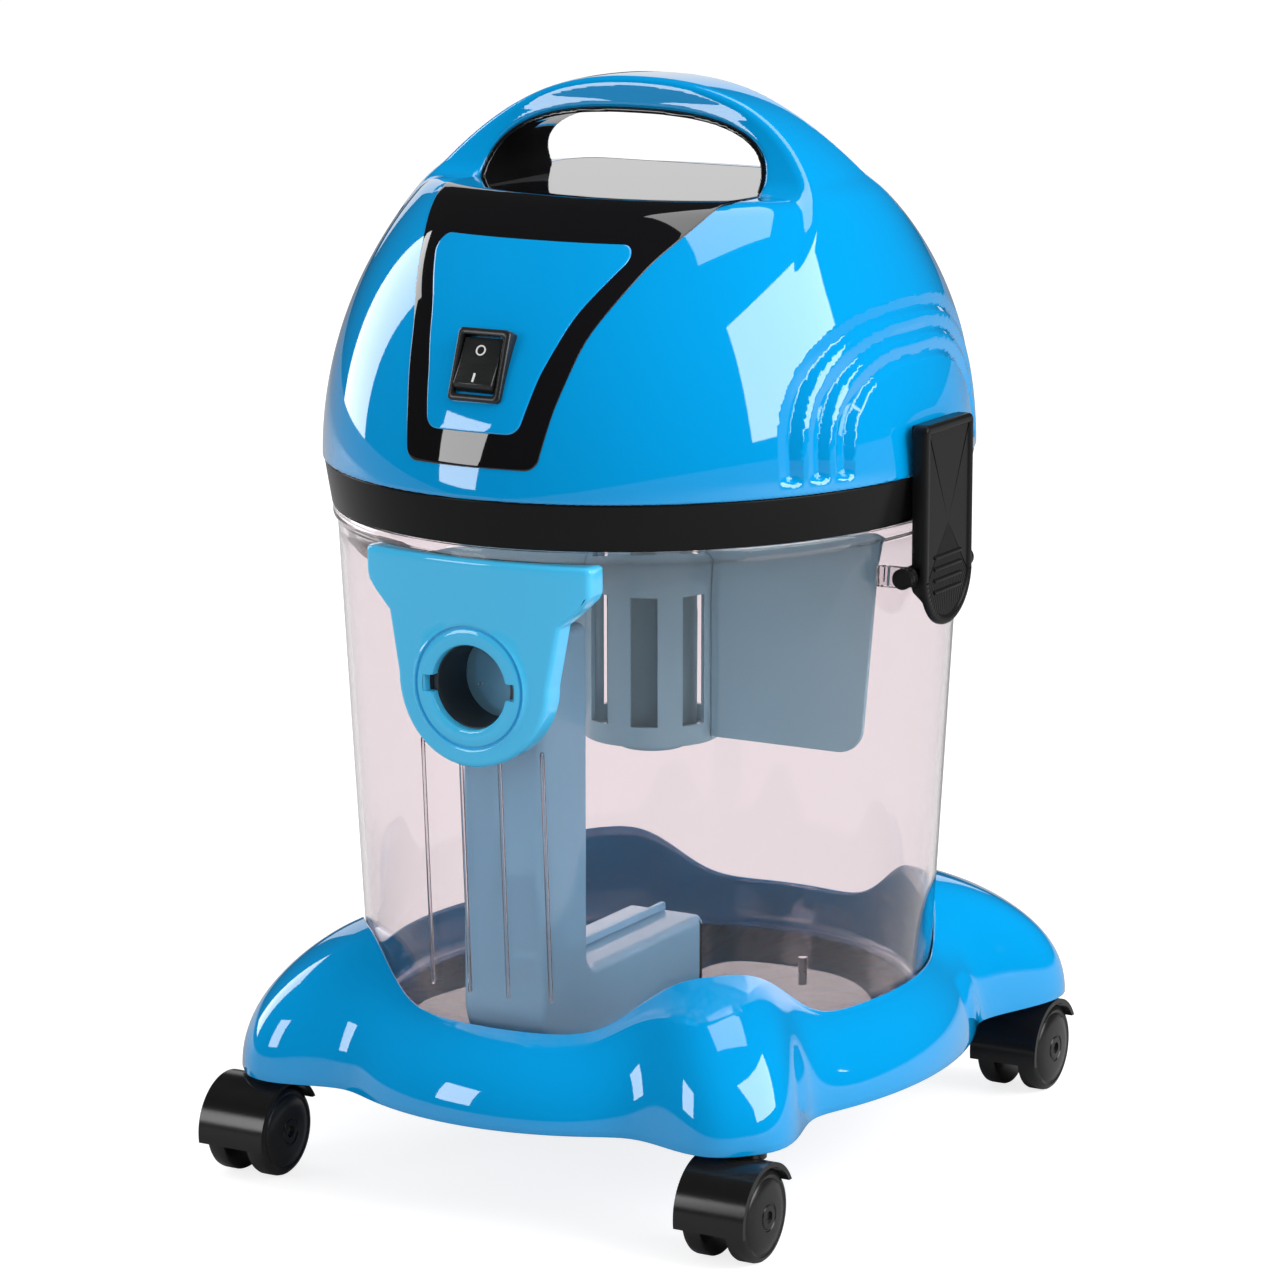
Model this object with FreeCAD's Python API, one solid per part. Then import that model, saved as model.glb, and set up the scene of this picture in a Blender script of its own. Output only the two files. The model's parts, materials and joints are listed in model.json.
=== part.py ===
import FreeCAD, Part
import math
import os

# Wet and dry shop vacuum: oval clear tank on a four-lobed castor base, with a motor head that lifts off.
# Millimetres. +Z is up, the origin is on the floor at the tank's axis, the front with the inlet faces -Y.

V = FreeCAD.Vector

# ---------------------------------------------------------------- driving dimensions
OVAL = 1.1365               # front-to-back length of the body divided by its width
WALL = 3.0                  # moulded wall
CLEAR = 0.4                 # gap between pieces that lift apart

WHEEL_R = 20.0
CASTOR_X = 118.8            # pivot of each castor from the middle
CASTOR_FRONT_Y = -131.0
CASTOR_REAR_Y = 151.0
CASTOR_TRAIL = 9.7
SOCKET_LENGTH = 14.0

BASE_Z = 45.0               # lower edge of the base
BASE_HALF_X = 142.0
BASE_HALF_Y = 165.0
LOBE_FRONT_ANGLE = 41.5     # degrees from the front centre line to a front lobe
LOBE_REAR_ANGLE = 39.0
LOBE_FRONT = 36.0           # how far the front lobes stand out beyond the base's oval
LOBE_REAR = 50.0
LOBE_WIDTH = 11.2           # degrees from a lobe's middle to its shoulder
CREST_LOW = 82.0            # where the base meets the tank between the lobes
CREST_RISE = 25.0           # and how much higher it climbs at a lobe
CREST_WIDTH = 17.0
SEAT_Z = 59.0               # face that the tank stands on

TANK_RIM_Z = 300.3
TANK_SLOPE = 0.05216        # the tank widens by this much for each millimetre up
TANK_A_250 = 130.93         # outer half width at 250 above the floor
TANK_WALL = 2.6

BAND_Z0 = 293.1             # black band round the head
BAND_Z1 = 313.2
PLATE_Z0 = 303.6            # the motor plate closes the tank
PLATE_Z1 = 307.0

DECK_Z = 430.0              # top of the dome between the handle's legs
HANDLE_Z = 476.0
INLET_Z = 233.0
BORE_R = 18.0

LATCH_PIVOT = V(138.5, 0, 271.0)
LATCH_HALF_Y = 23.0
LATCH_Z0 = 247.0
LATCH_Z1 = 336.0
LATCH_X0 = 139.3
LATCH_X1 = 146.0

# height, half width, half length, and squareness of the dome's oval sections
DOME = [
    (BAND_Z1, 138.8, 157.7, 2.0),
    (322.0, 137.6, 156.3, 2.0),
    (335.0, 135.2, 153.4, 2.02),
    (352.0, 132.3, 148.3, 2.05),
    (370.0, 128.6, 141.0, 2.1),
    (387.0, 124.0, 131.0, 2.15),
    (400.0, 119.0, 119.0, 2.2),
    (413.0, 111.0, 101.5, 2.25),
    (422.0, 104.0, 89.0, 2.3),
    (DECK_Z, 97.0, 75.0, 2.35),
]


# ---------------------------------------------------------------- helpers
def save(name, *solids):
    """Write one node; several solids in a node stay separate."""
    shape = solids[0] if len(solids) == 1 else Part.makeCompound(list(solids))
    shape.exportStep("parts/" + name + ".step")
    print(name, len(shape.Solids), round(shape.Volume / 1000.0, 2), "cm3", shape.isValid())


def signed_power(value, power):
    return math.copysign(abs(value) ** power, value)


def closed_curve(points):
    curve = Part.BSplineCurve()
    curve.interpolate(points, PeriodicFlag=True)
    return Part.Wire([curve.toShape()])


def oval(z, a, b, square=2.0, count=32):
    """Closed oval wire: an ellipse, or a squarer oval when square is over 2."""
    if square == 2.0:
        ring = Part.makeCircle(1.0)
        matrix = FreeCAD.Matrix()
        matrix.scale(V(a, b, 1.0))
        matrix.move(V(0, 0, z))
        return Part.Wire([ring.toNurbs().transformGeometry(matrix).Edges[0]])
    points = []
    for i in range(count):
        t = 2.0 * math.pi * i / count
        points.append(V(a * signed_power(math.cos(t), 2.0 / square), b * signed_power(math.sin(t), 2.0 / square), z))
    return closed_curve(points)


def loft(wires, ruled=False):
    return Part.makeLoft(wires, True, ruled)


def oval_block(z0, a0, z1, a1):
    """Straight-sided oval solid, with the body's own proportion."""
    return loft([oval(z0, a0, a0 * OVAL), oval(z1, a1, a1 * OVAL)], True)


def box(x0, x1, y0, y1, z0, z1):
    return Part.makeBox(x1 - x0, y1 - y0, z1 - z0, V(x0, y0, z0))


def rod(radius, start, direction, length):
    return Part.makeCylinder(radius, length, start, direction)


def tube(outer, inner, start, direction, length):
    return rod(outer, start, direction, length).cut(rod(inner, start, direction, length))


def prism(points, direction):
    """Straight-edged face through points, pushed along direction."""
    return Part.Face(Part.makePolygon(points + points[:1])).extrude(direction)


def spun(profile):
    """Solid turned round Z from a closed profile of (radius, height)."""
    face = Part.Face(Part.makePolygon([V(r, 0, z) for r, z in profile + profile[:1]]))
    return face.revolve(V(0, 0, 0), V(0, 0, 1), 360)


def sector(start, end):
    """Wedge about Z between two angles in degrees, taller and wider than the tank."""
    corners = [V(220 * math.cos(math.radians(t)), 220 * math.sin(math.radians(t)), SEAT_Z - 5) for t in (start, end)]
    return prism([V(0, 0, SEAT_Z - 5)] + corners, V(0, 0, 260))


def mirror_x(shape):
    return shape.mirror(V(0, 0, 0), V(1, 0, 0))


def tank_a(z):
    """Outer half width of the tank wall at height z."""
    return TANK_A_250 + (z - 250.0) * TANK_SLOPE


def fuse_all(shapes):
    return shapes[0].multiFuse(shapes[1:]).removeSplitter() if len(shapes) > 1 else shapes[0]


# ---------------------------------------------------------------- base and castor sockets
def lobe(angle, middle, width):
    """How far a direction lies inside a lobe, 1 in its middle and 0 outside."""
    off = abs(angle - middle) / width
    return math.exp(-off ** 3)


def base_section(z, inset):
    """One level slice through the base's outside, moved inwards by inset."""
    points = []
    for i in range(72):
        turn = math.radians(i * 5.0)
        x_dir = math.sin(turn)
        y_dir = -math.cos(turn)
        rear = y_dir > 0
        from_middle = math.degrees(math.atan2(abs(x_dir), abs(y_dir)))
        oval_r = 1.0 / math.hypot(x_dir / BASE_HALF_X, y_dir / BASE_HALF_Y)
        middle = LOBE_REAR_ANGLE if rear else LOBE_FRONT_ANGLE
        foot_r = oval_r + (LOBE_REAR if rear else LOBE_FRONT) * lobe(from_middle, middle, LOBE_WIDTH)
        seat_r = 1.0 / math.hypot(x_dir, y_dir / OVAL) * tank_a(z)
        crest = CREST_LOW + CREST_RISE * lobe(from_middle, middle, CREST_WIDTH)
        part_up = (z + inset - BASE_Z) / (crest - BASE_Z)
        if part_up < 1.0:
            swell = (1.0 - max(part_up, 0.0) ** 2.2) ** 0.8
        else:
            swell = (1.0 - part_up) * 0.6
        radius = seat_r + (foot_r - seat_r) * swell - inset
        reach = BASE_HALF_Y - inset
        if abs(y_dir) * radius > reach:
            radius = reach / abs(y_dir)
        points.append(V(radius * x_dir, radius * y_dir, z))
    return closed_curve(points)


def base_hood(inset, z0, z1):
    count = 9
    levels = [z0 + (z1 - z0) * i / (count - 1) for i in range(count)]
    return loft([base_section(z, inset) for z in levels])


def castor_places():
    """Name, x and y of the four castor pivots."""
    return [
        ("front_right", CASTOR_X, CASTOR_FRONT_Y),
        ("front_left", -CASTOR_X, CASTOR_FRONT_Y),
        ("rear_right", CASTOR_X, CASTOR_REAR_Y),
        ("rear_left", -CASTOR_X, CASTOR_REAR_Y),
    ]


def make_base():
    outside = base_hood(0.0, BASE_Z, 106.0)
    seat = oval_block(SEAT_Z, tank_a(SEAT_Z) + CLEAR, 112.0, tank_a(112.0) + CLEAR)
    cup = oval_block(BASE_Z - 1, tank_a(SEAT_Z) + 3.2, 112.0, tank_a(112.0) + 3.2)
    under = oval_block(BASE_Z - 1, tank_a(SEAT_Z), SEAT_Z - WALL, tank_a(SEAT_Z))
    hollow = base_hood(WALL, BASE_Z - 0.5, 102.0).cut(cup)
    shell = outside.cut(seat).cut(hollow).cut(under)
    ribs = [box(-tank_a(SEAT_Z), tank_a(SEAT_Z), -1.25, 1.25, BASE_Z + 3, SEAT_Z - 1)]
    for x in (-60.0, 60.0):
        ribs.append(box(x - 1.25, x + 1.25, -110.0, 110.0, BASE_Z + 3, SEAT_Z - 1))
    sockets = []
    pillars = []
    for name, x, y in castor_places():
        pillar = rod(12.0, V(x, y, BASE_Z + 1), V(0, 0, 1), 50).common(base_hood(1.0, BASE_Z - 0.5, 105.0))
        pillars.append(pillar)
        sockets.append(tube(8.0, 5.55, V(x, y, BASE_Z + 1.5), V(0, 0, 1), SOCKET_LENGTH))
    shell = fuse_all([shell] + ribs + pillars)
    for name, x, y in castor_places():
        shell = shell.cut(rod(8.0, V(x, y, BASE_Z), V(0, 0, 1), SOCKET_LENGTH + 1.5))
    for x, y in screw_places():
        shell = shell.cut(rod(2.5, V(x, y, BASE_Z), V(0, 0, 1), 30.0))
    save("base_shell", shell)
    save("castor_sockets", *sockets)


def screw_places():
    return [(-40.0, -70.0), (40.0, -70.0), (-40.0, 70.0), (40.0, 70.0)]


def make_base_screws():
    screws = []
    for x, y in screw_places():
        head = rod(4.5, V(x, y, SEAT_Z - WALL - 3.0), V(0, 0, 1), 3.0)
        shank = rod(2.0, V(x, y, SEAT_Z - WALL), V(0, 0, 1), 12.0)
        screws.append(head.fuse(shank))
    save("base_screws", *screws)


# ---------------------------------------------------------------- tank
def make_tank():
    flare_z = 288.0
    outside = oval_block(SEAT_Z, tank_a(SEAT_Z), flare_z, tank_a(flare_z))
    rim = oval_block(flare_z, tank_a(flare_z), TANK_RIM_Z, tank_a(flare_z))
    flange = oval_block(flare_z, tank_a(flare_z) + 1.8, 292.4, tank_a(flare_z) + 1.8)
    inner_a = tank_a(SEAT_Z + WALL) - TANK_WALL
    inside = oval_block(SEAT_Z + WALL, inner_a, flare_z, tank_a(flare_z) - TANK_WALL)
    mouth = oval_block(flare_z, tank_a(flare_z) - TANK_WALL, TANK_RIM_Z, tank_a(flare_z) - TANK_WALL)
    proud = oval_block(96.0, tank_a(96.0) + 1.0, 206.0, tank_a(206.0) + 1.0)
    strips = [proud.common(box(x - 0.8, x + 0.8, -170, -100, 90, 215)) for x in (-31.0, -10.0, 9.0, 28.0)]
    screw_bosses = [rod(5.0, V(x, y, SEAT_Z + 1), V(0, 0, 1), 11.0) for x, y in screw_places()]
    lugs = []
    pivot = LATCH_PIVOT
    for side in (-1, 1):
        for y0 in (-28.5, 23.8):
            arm = box(125.0, pivot.x, y0, y0 + 4.7, pivot.z - 4.5, pivot.z + 4.5)
            eye = rod(4.5, V(pivot.x, y0, pivot.z), V(0, 1, 0), 4.7)
            lug = arm.fuse(eye)
            lugs.append(lug if side > 0 else mirror_x(lug))
    body = outside.fuse(rim).fuse(flange).multiFuse(lugs + strips).cut(inside.fuse(mouth))
    body = body.fuse(screw_bosses[0]).multiFuse(screw_bosses[1:])
    for x, y in screw_places():
        body = body.cut(rod(2.0, V(x, y, SEAT_Z - 1), V(0, 0, 1), 10.0))
    body = body.cut(rod(22.0, V(0, -170, INLET_Z), V(0, 1, 0), 60.0))
    for side in (-1, 1):
        body = body.cut(rod(2.5, V(side * pivot.x, -40, pivot.z), V(0, 1, 0), 80.0))
    floor_core = oval_block(SEAT_Z - 1, inner_a - 3.0, SEAT_Z + 13, inner_a - 3.0)
    wall = body.cut(floor_core)
    pieces = body.common(floor_core).Solids
    for number in range(12):
        pieces += wall.common(sector(30 * number - 15, 30 * number + 15)).Solids
    save("tank", *pieces)


# ---------------------------------------------------------------- inlet
COVER_R = 212.0             # bend of the cover's face, seen from above
COVER_FRONT_Y = -156.0


def cover_outline(inset):
    """Shield outline with two wings and a round lower end, as a face in the XZ plane at y = -175."""
    y = -175.0
    i = inset
    r = 36.5 - i
    cz = 235.5
    right = [V(r, y, cz), V(42.0 - i, y, 264.0 + i * 0.3), V(52.0 - i, y, 270.5 + i)]
    right += [V(54.0 - i, y, 275.0 + i * 0.5), V(54.5 - i, y, 288.0 - i)]
    left = [V(-p.x, p.y, p.z) for p in reversed(right)]
    edges = [Part.LineSegment(a, b).toShape() for a, b in zip(right + left, (right + left)[1:])]
    edges.append(Part.Arc(left[-1], V(0, y, cz - r), right[0]).toShape())
    return Part.Face(Part.Wire(edges))


def make_inlet():
    deep = V(0, 70, 0)
    tank_skin = oval_block(180.0, tank_a(180.0) + 0.3, 292.0, tank_a(292.0) + 0.3)
    face_drum = rod(COVER_R, V(0, COVER_FRONT_Y + COVER_R, 150), V(0, 0, 1), 160)
    back_drum = rod(COVER_R - 2.5, V(0, COVER_FRONT_Y + COVER_R, 150), V(0, 0, 1), 160)
    block = cover_outline(0.0).extrude(deep).common(face_drum).cut(tank_skin)
    hollow = cover_outline(2.5).extrude(deep).common(back_drum)
    boss = rod(27.0, V(0, -175, INLET_Z), V(0, 1, 0), 70).common(cover_outline(1.0).extrude(deep))
    boss = boss.common(face_drum).cut(tank_skin)
    cover = block.cut(hollow).fuse(boss)
    cover = cover.cut(rod(BORE_R, V(0, -180, INLET_Z), V(0, 1, 0), 80))
    cover = cover.cut(rod(22.0, V(0, -151.5, INLET_Z), V(0, 1, 0), 40))
    cover = cover.cut(box(-BORE_R - 3.5, BORE_R + 3.5, -180, -100, INLET_Z - 4, INLET_Z + 4))
    cover = cover.cut(tube(26.5, 25.0, V(0, -160, INLET_Z), V(0, 1, 0), 4.6))
    save("inlet_cover", cover)
    sleeve = tube(20.0, 17.5, V(0, -151.4, INLET_Z), V(0, 1, 0), 34.0)
    save("inlet_sleeve", sleeve)
    seal = tube(21.9, 20.0, V(0, -151.4, INLET_Z), V(0, 1, 0), 14.0)
    save("inlet_seal", seal)
    save("downpipe", make_downpipe())


def duct_profile(inset):
    """Side outline of the duct: a straight drop, a round heel and a flat foot towards the rear."""
    i = inset
    x = -20.0 + i
    front = -129.0 + i
    back = -90.0 - i
    low = 65.0 + i
    foot_top = 99.0 - i
    end = 12.0 + (1.0 if i else 0.0)
    heel = 24.0 - i
    slant = heel * (1.0 - math.sqrt(0.5))
    edges = [
        Part.LineSegment(V(x, front, 252.0 - i), V(x, front, low + heel)).toShape(),
        Part.Arc(V(x, front, low + heel), V(x, front + slant, low + slant), V(x, front + heel, low)).toShape(),
        Part.LineSegment(V(x, front + heel, low), V(x, end, low)).toShape(),
        Part.LineSegment(V(x, end, low), V(x, end, foot_top)).toShape(),
        Part.LineSegment(V(x, end, foot_top), V(x, back, foot_top)).toShape(),
        Part.LineSegment(V(x, back, foot_top), V(x, back, 252.0 - i)).toShape(),
        Part.LineSegment(V(x, back, 252.0 - i), V(x, front, 252.0 - i)).toShape(),
    ]
    return Part.Face(Part.Wire(edges)).extrude(V(40.0 - 2.0 * i, 0, 0))


def make_downpipe():
    pipe = duct_profile(0.0).cut(duct_profile(2.0))
    collar = tube(22.0, 20.0, V(0, -129, INLET_Z), V(0, 1, 0), 6.0)
    pipe = pipe.cut(rod(20.0, V(0, -135, INLET_Z), V(0, 1, 0), 20.0))
    return pipe.fuse(collar.common(box(-19, 19, -129, -120, 200, 260)))


# ---------------------------------------------------------------- latches
def latch_plate(x0, x1, inset, z0=LATCH_Z0):
    """Latch outline, round at the bottom and square at the top, between two x values."""
    w = LATCH_HALF_Y - inset
    low = z0 + inset
    top = LATCH_Z1 - inset
    shoulder = low + 24.0
    edges = [
        Part.Arc(V(x0, -w, shoulder), V(x0, 0, low), V(x0, w, shoulder)).toShape(),
        Part.LineSegment(V(x0, w, shoulder), V(x0, w, top)).toShape(),
        Part.LineSegment(V(x0, w, top), V(x0, -w, top)).toShape(),
        Part.LineSegment(V(x0, -w, top), V(x0, -w, shoulder)).toShape(),
    ]
    return Part.Face(Part.Wire(edges)).extrude(V(x1 - x0, 0, 0))


def make_latches():
    pivot = LATCH_PIVOT
    latch = latch_plate(LATCH_X0, LATCH_X1, 0.0)
    latch = latch.cut(latch_plate(LATCH_X0 - 1, LATCH_X1 - 2.4, 2.2))
    latch = latch.cut(box(LATCH_X0 - 1, LATCH_X1 - 2.4, -30, 30, 240, 262))
    latch = latch.cut(latch_plate(LATCH_X1 - 0.8, LATCH_X1 + 1, 3.5))
    for n in range(4):
        z = 262.0 + 5.0 * n
        latch = latch.fuse(box(LATCH_X1 - 1.2, LATCH_X1, -13, 13, z, z + 1.6))
    hook = prism([V(LATCH_X0 + 0.2, -20, 317.5), V(137.3, -20, 329.5), V(137.3, -20, LATCH_Z1),
                  V(144.0, -20, LATCH_Z1), V(144.0, -20, 317.5)], V(0, 40, 0))
    latch = latch.fuse(hook)
    for y0 in (-23.0, 15.0):
        ear = rod(4.5, V(pivot.x, y0, pivot.z), V(0, 1, 0), 8.0)
        web = box(pivot.x, 144.0, y0, y0 + 8.0, pivot.z - 4.5, pivot.z + 4.5)
        latch = latch.fuse(ear).fuse(web)
    latch = latch.cut(rod(2.55, V(pivot.x, -40, pivot.z), V(0, 1, 0), 80))
    pin = rod(2.5, V(pivot.x, -29.0, pivot.z), V(0, 1, 0), 58.0)
    pin = pin.fuse(rod(4.5, V(pivot.x, -30.5, pivot.z), V(0, 1, 0), 2.0))
    pin = pin.fuse(rod(4.5, V(pivot.x, 28.5, pivot.z), V(0, 1, 0), 2.0))
    save("latch_right", latch)
    save("latch_left", mirror_x(latch))
    save("latch_pin_right", pin)
    save("latch_pin_left", mirror_x(pin))


# ---------------------------------------------------------------- head
def dome(inset):
    wires = []
    for z, a, b, square in DOME:
        level = z if z < DECK_Z else DECK_Z - inset
        wires.append(oval(level, a - inset, b - inset, square))
    if inset:
        wires.insert(0, oval(BAND_Z1 - 1, DOME[0][1] - inset, DOME[0][2] - inset))
    return loft(wires)


def handle_hole(inset):
    """Grip opening under the handle, pushed right through along Y."""
    i = inset
    y = -60.0
    half = 69.5 - i
    points = [V(-half, y, DECK_Z), V(-half + 5.5, y, 444.0 - i * 0.7), V(-46.0, y, 456.5 - i), V(0, y, 462.0 - i),
              V(46.0, y, 456.5 - i), V(half - 5.5, y, 444.0 - i * 0.7), V(half, y, DECK_Z)]
    arch = Part.BSplineCurve()
    arch.interpolate(points)
    face = Part.Face(Part.Wire([arch.toShape(), Part.LineSegment(points[-1], points[0]).toShape()]))
    return face.extrude(V(0, 120, 0))


def make_handle():
    """Arch that carries on the dome's oval above the deck, cut to the grip's width."""
    upper = [(398.0, 119.8, 136.0), (413.0, 111.5, 126.0), (431.5, 97.5, 110.0), (448.5, 80.0, 90.0),
             (463.0, 56.5, 66.0), (472.5, 32.0, 42.0), (HANDLE_Z, 8.0, 18.0)]
    envelope = loft([oval(z, a, b) for z, a, b in upper])
    side = [(-58, 398), (-40, 422), (-24, 440), (-16.5, 455), (-15, 466), (-12, HANDLE_Z + 1)]
    outline = [V(-125, s, z) for s, z in side] + [V(-125, -s, z) for s, z in reversed(side)]
    return envelope.common(prism(outline, V(250, 0, 0)))


def front_prism(widths, y0=-175.0, y1=0.0):
    """Straight cutter along Y whose outline has the given (half width, height) corners."""
    points = [V(w, y0, z) for w, z in widths] + [V(-w, y0, z) for w, z in reversed(widths)]
    return prism(points, V(0, y1 - y0, 0))


TRIM_OUTLINE = [(26.0, 325.5), (31.5, 330.0), (35.5, 350.0), (41.5, 378.0), (54.0, 408.0), (66.0, DECK_Z + 1)]
PANEL_OUTLINE = [(18.0, 340.0), (22.0, 344.0), (27.0, 365.0), (34.0, 387.0), (47.0, 411.0), (47.0, 415.0)]
SWITCH_TILT = 20.0
SWITCH_FACE = V(0, -143.6, 367.0)


def switch_place(shape):
    """Move a shape from the switch's own frame (face up at z = 0, top towards +Y) to the dome's front."""
    placed = shape.copy()
    placed.rotate(V(0, 0, 0), V(1, 0, 0), 90.0 - SWITCH_TILT)
    placed.translate(SWITCH_FACE)
    return placed


def head_posts(room):
    """Screw posts with webs to the wall, kept inside the given room."""
    posts = []
    for x, y in head_screw_places():
        x_wall = math.copysign(134.0, x)
        web = box(min(x, x_wall), max(x, x_wall), y - 1.2, y + 1.2, BAND_Z1 + 1, 338.0)
        tall = rod(5.0, V(x, y, BAND_Z1), V(0, 0, 1), 25.0).fuse(web).common(room)
        posts.append(rod(5.0, V(x, y, PLATE_Z1), V(0, 0, 1), 12.0).fuse(tall))
    return posts


def vent_slots():
    """Narrow slots low on both sides, three ahead of each latch and three behind."""
    slots = []
    for sx in (-1, 1):
        for sy in (-1, 1):
            for y, top in ((82.0, 346.0), (69.5, 350.0), (57.0, 354.0)):
                x0, x1 = sorted((sx * 90.0, sx * 150.0))
                slots.append(box(x0, x1, sy * y - 1.5, sy * y + 1.5, 323.0, top))
    return slots


def latch_pads(room):
    """Raised ledges that the two latches hook over."""
    pad = prism([V(125, -20, 314), V(138.9, -20, 314), V(138.9, -20, 317.5), V(136.9, -20, 329.5),
                 V(125, -20, 329.5)], V(0, 40, 0)).cut(room)
    return [pad, mirror_x(pad)]


def make_head():
    outside = dome(0.0)
    inside = dome(WALL)
    handle = make_handle()
    hole = handle_hole(0.0)
    whole = outside.fuse(handle)
    thick = whole.cut(inside)
    deck = box(-69.5, 69.5, -76.0, 90.0, DECK_Z - WALL, DECK_Z + 1)
    trim_cut = front_prism(TRIM_OUTLINE)
    panel_cut = front_prism(PANEL_OUTLINE)
    skin = outside.cut(inside)
    shell = thick.cut(hole).cut(trim_cut).cut(deck)
    shell = shell.multiFuse(latch_pads(inside) + head_posts(dome(1.0)))
    for x, y in head_screw_places():
        shell = shell.cut(rod(2.0, V(x, y, PLATE_Z0), V(0, 0, 1), 16.0))
    for slot in vent_slots():
        shell = shell.cut(slot)
    shell = shell.cut(rod(9.0, V(0, 130, 336), V(0, 1, 0), 40))
    save("head_shell", shell)
    front = skin.common(trim_cut).cut(panel_cut)
    save("trim_frame", front.fuse(skin.common(deck)).cut(hole))
    switch_hole = switch_place(box(-11.0, 11.0, -14.0, 14.0, -30, 10))
    save("switch_panel", skin.common(panel_cut).cut(switch_hole))
    liner = hole.cut(handle_hole(2.2)).common(box(-80, 80, -14, 14, DECK_Z, 470))
    save("handle_liner", liner)
    gland = tube(9.0, 4.0, V(0, 143, 336), V(0, 1, 0), 14.0).fuse(tube(12.0, 4.0, V(0, 157, 336), V(0, 1, 0), 3.0))
    save("cord_gland", gland)


def head_screw_places():
    return [(-96.0, -78.0), (96.0, -78.0), (-96.0, 78.0), (96.0, 78.0)]


def make_motor_plate():
    band = oval_block(BAND_Z0, 135.0, BAND_Z1, 138.15)
    below = oval_block(BAND_Z0 - 1, 133.4, PLATE_Z0, 133.4)
    above = oval_block(PLATE_Z1, 134.2, BAND_Z1 + 1, 134.2)
    plate = band.cut(below).cut(above)
    plate = plate.cut(rod(26.0, V(0, 0, 300), V(0, 0, 1), 10))
    for x, y in head_screw_places():
        plate = plate.cut(rod(2.0, V(x, y, 300), V(0, 0, 1), 10))
    save("motor_plate", plate)
    seal = oval_block(TANK_RIM_Z + 0.3, 132.8, PLATE_Z0, 132.8)
    seal = seal.cut(oval_block(TANK_RIM_Z, 127.6, PLATE_Z0 + 1, 127.6))
    save("head_seal", seal)
    screws = []
    for x, y in head_screw_places():
        head = rod(4.0, V(x, y, PLATE_Z0 - 2.6), V(0, 0, 1), 2.6)
        screws.append(head.fuse(rod(2.0, V(x, y, PLATE_Z0), V(0, 0, 1), 14.0)))
    save("head_screws", *screws)


# ---------------------------------------------------------------- switch
def make_switch():
    bezel = box(-12.5, 12.5, -15.5, 15.5, 0.6, 2.6).cut(box(-9.6, 9.6, -12.6, 12.6, -5, 5))
    case = box(-11.0, 11.0, -14.0, 14.0, -20.0, 0.6).cut(box(-9.6, 9.6, -12.6, 12.6, -14.0, 5))
    save("switch_housing", switch_place(bezel.fuse(case)))
    pivot_z = -3.0
    low_top, middle_top, high_top = 1.6, 3.0, 5.8
    side = [V(-9.2, -12.0, -6.0), V(-9.2, 0, -9.0), V(-9.2, 12.0, -6.0), V(-9.2, 12.0, low_top),
            V(-9.2, 0, middle_top), V(-9.2, -12.0, high_top)]
    rocker = prism(side, V(18.4, 0, 0)).common(rod(12.3, V(-10, 0, pivot_z), V(1, 0, 0), 20))
    save("switch_rocker", switch_place(rocker))
    ring_y, bar_y = 6.0, -6.0
    ring_z = (low_top + middle_top) / 2.0 + 0.02
    bar_z = (high_top + middle_top) / 2.0 + 0.02
    ring = tube(2.3, 1.7, V(0, ring_y, ring_z), V(0, 0, 1), 0.4)
    bar = box(-0.4, 0.4, bar_y - 2.0, bar_y + 2.0, bar_z, bar_z + 0.4)
    ring.rotate(V(0, ring_y, ring_z), V(1, 0, 0), -math.degrees(math.atan2(middle_top - low_top, 12.0)))
    bar.rotate(V(0, bar_y, bar_z), V(1, 0, 0), -math.degrees(math.atan2(high_top - middle_top, 12.0)))
    save("switch_marks", switch_place(ring), switch_place(bar))


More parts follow.
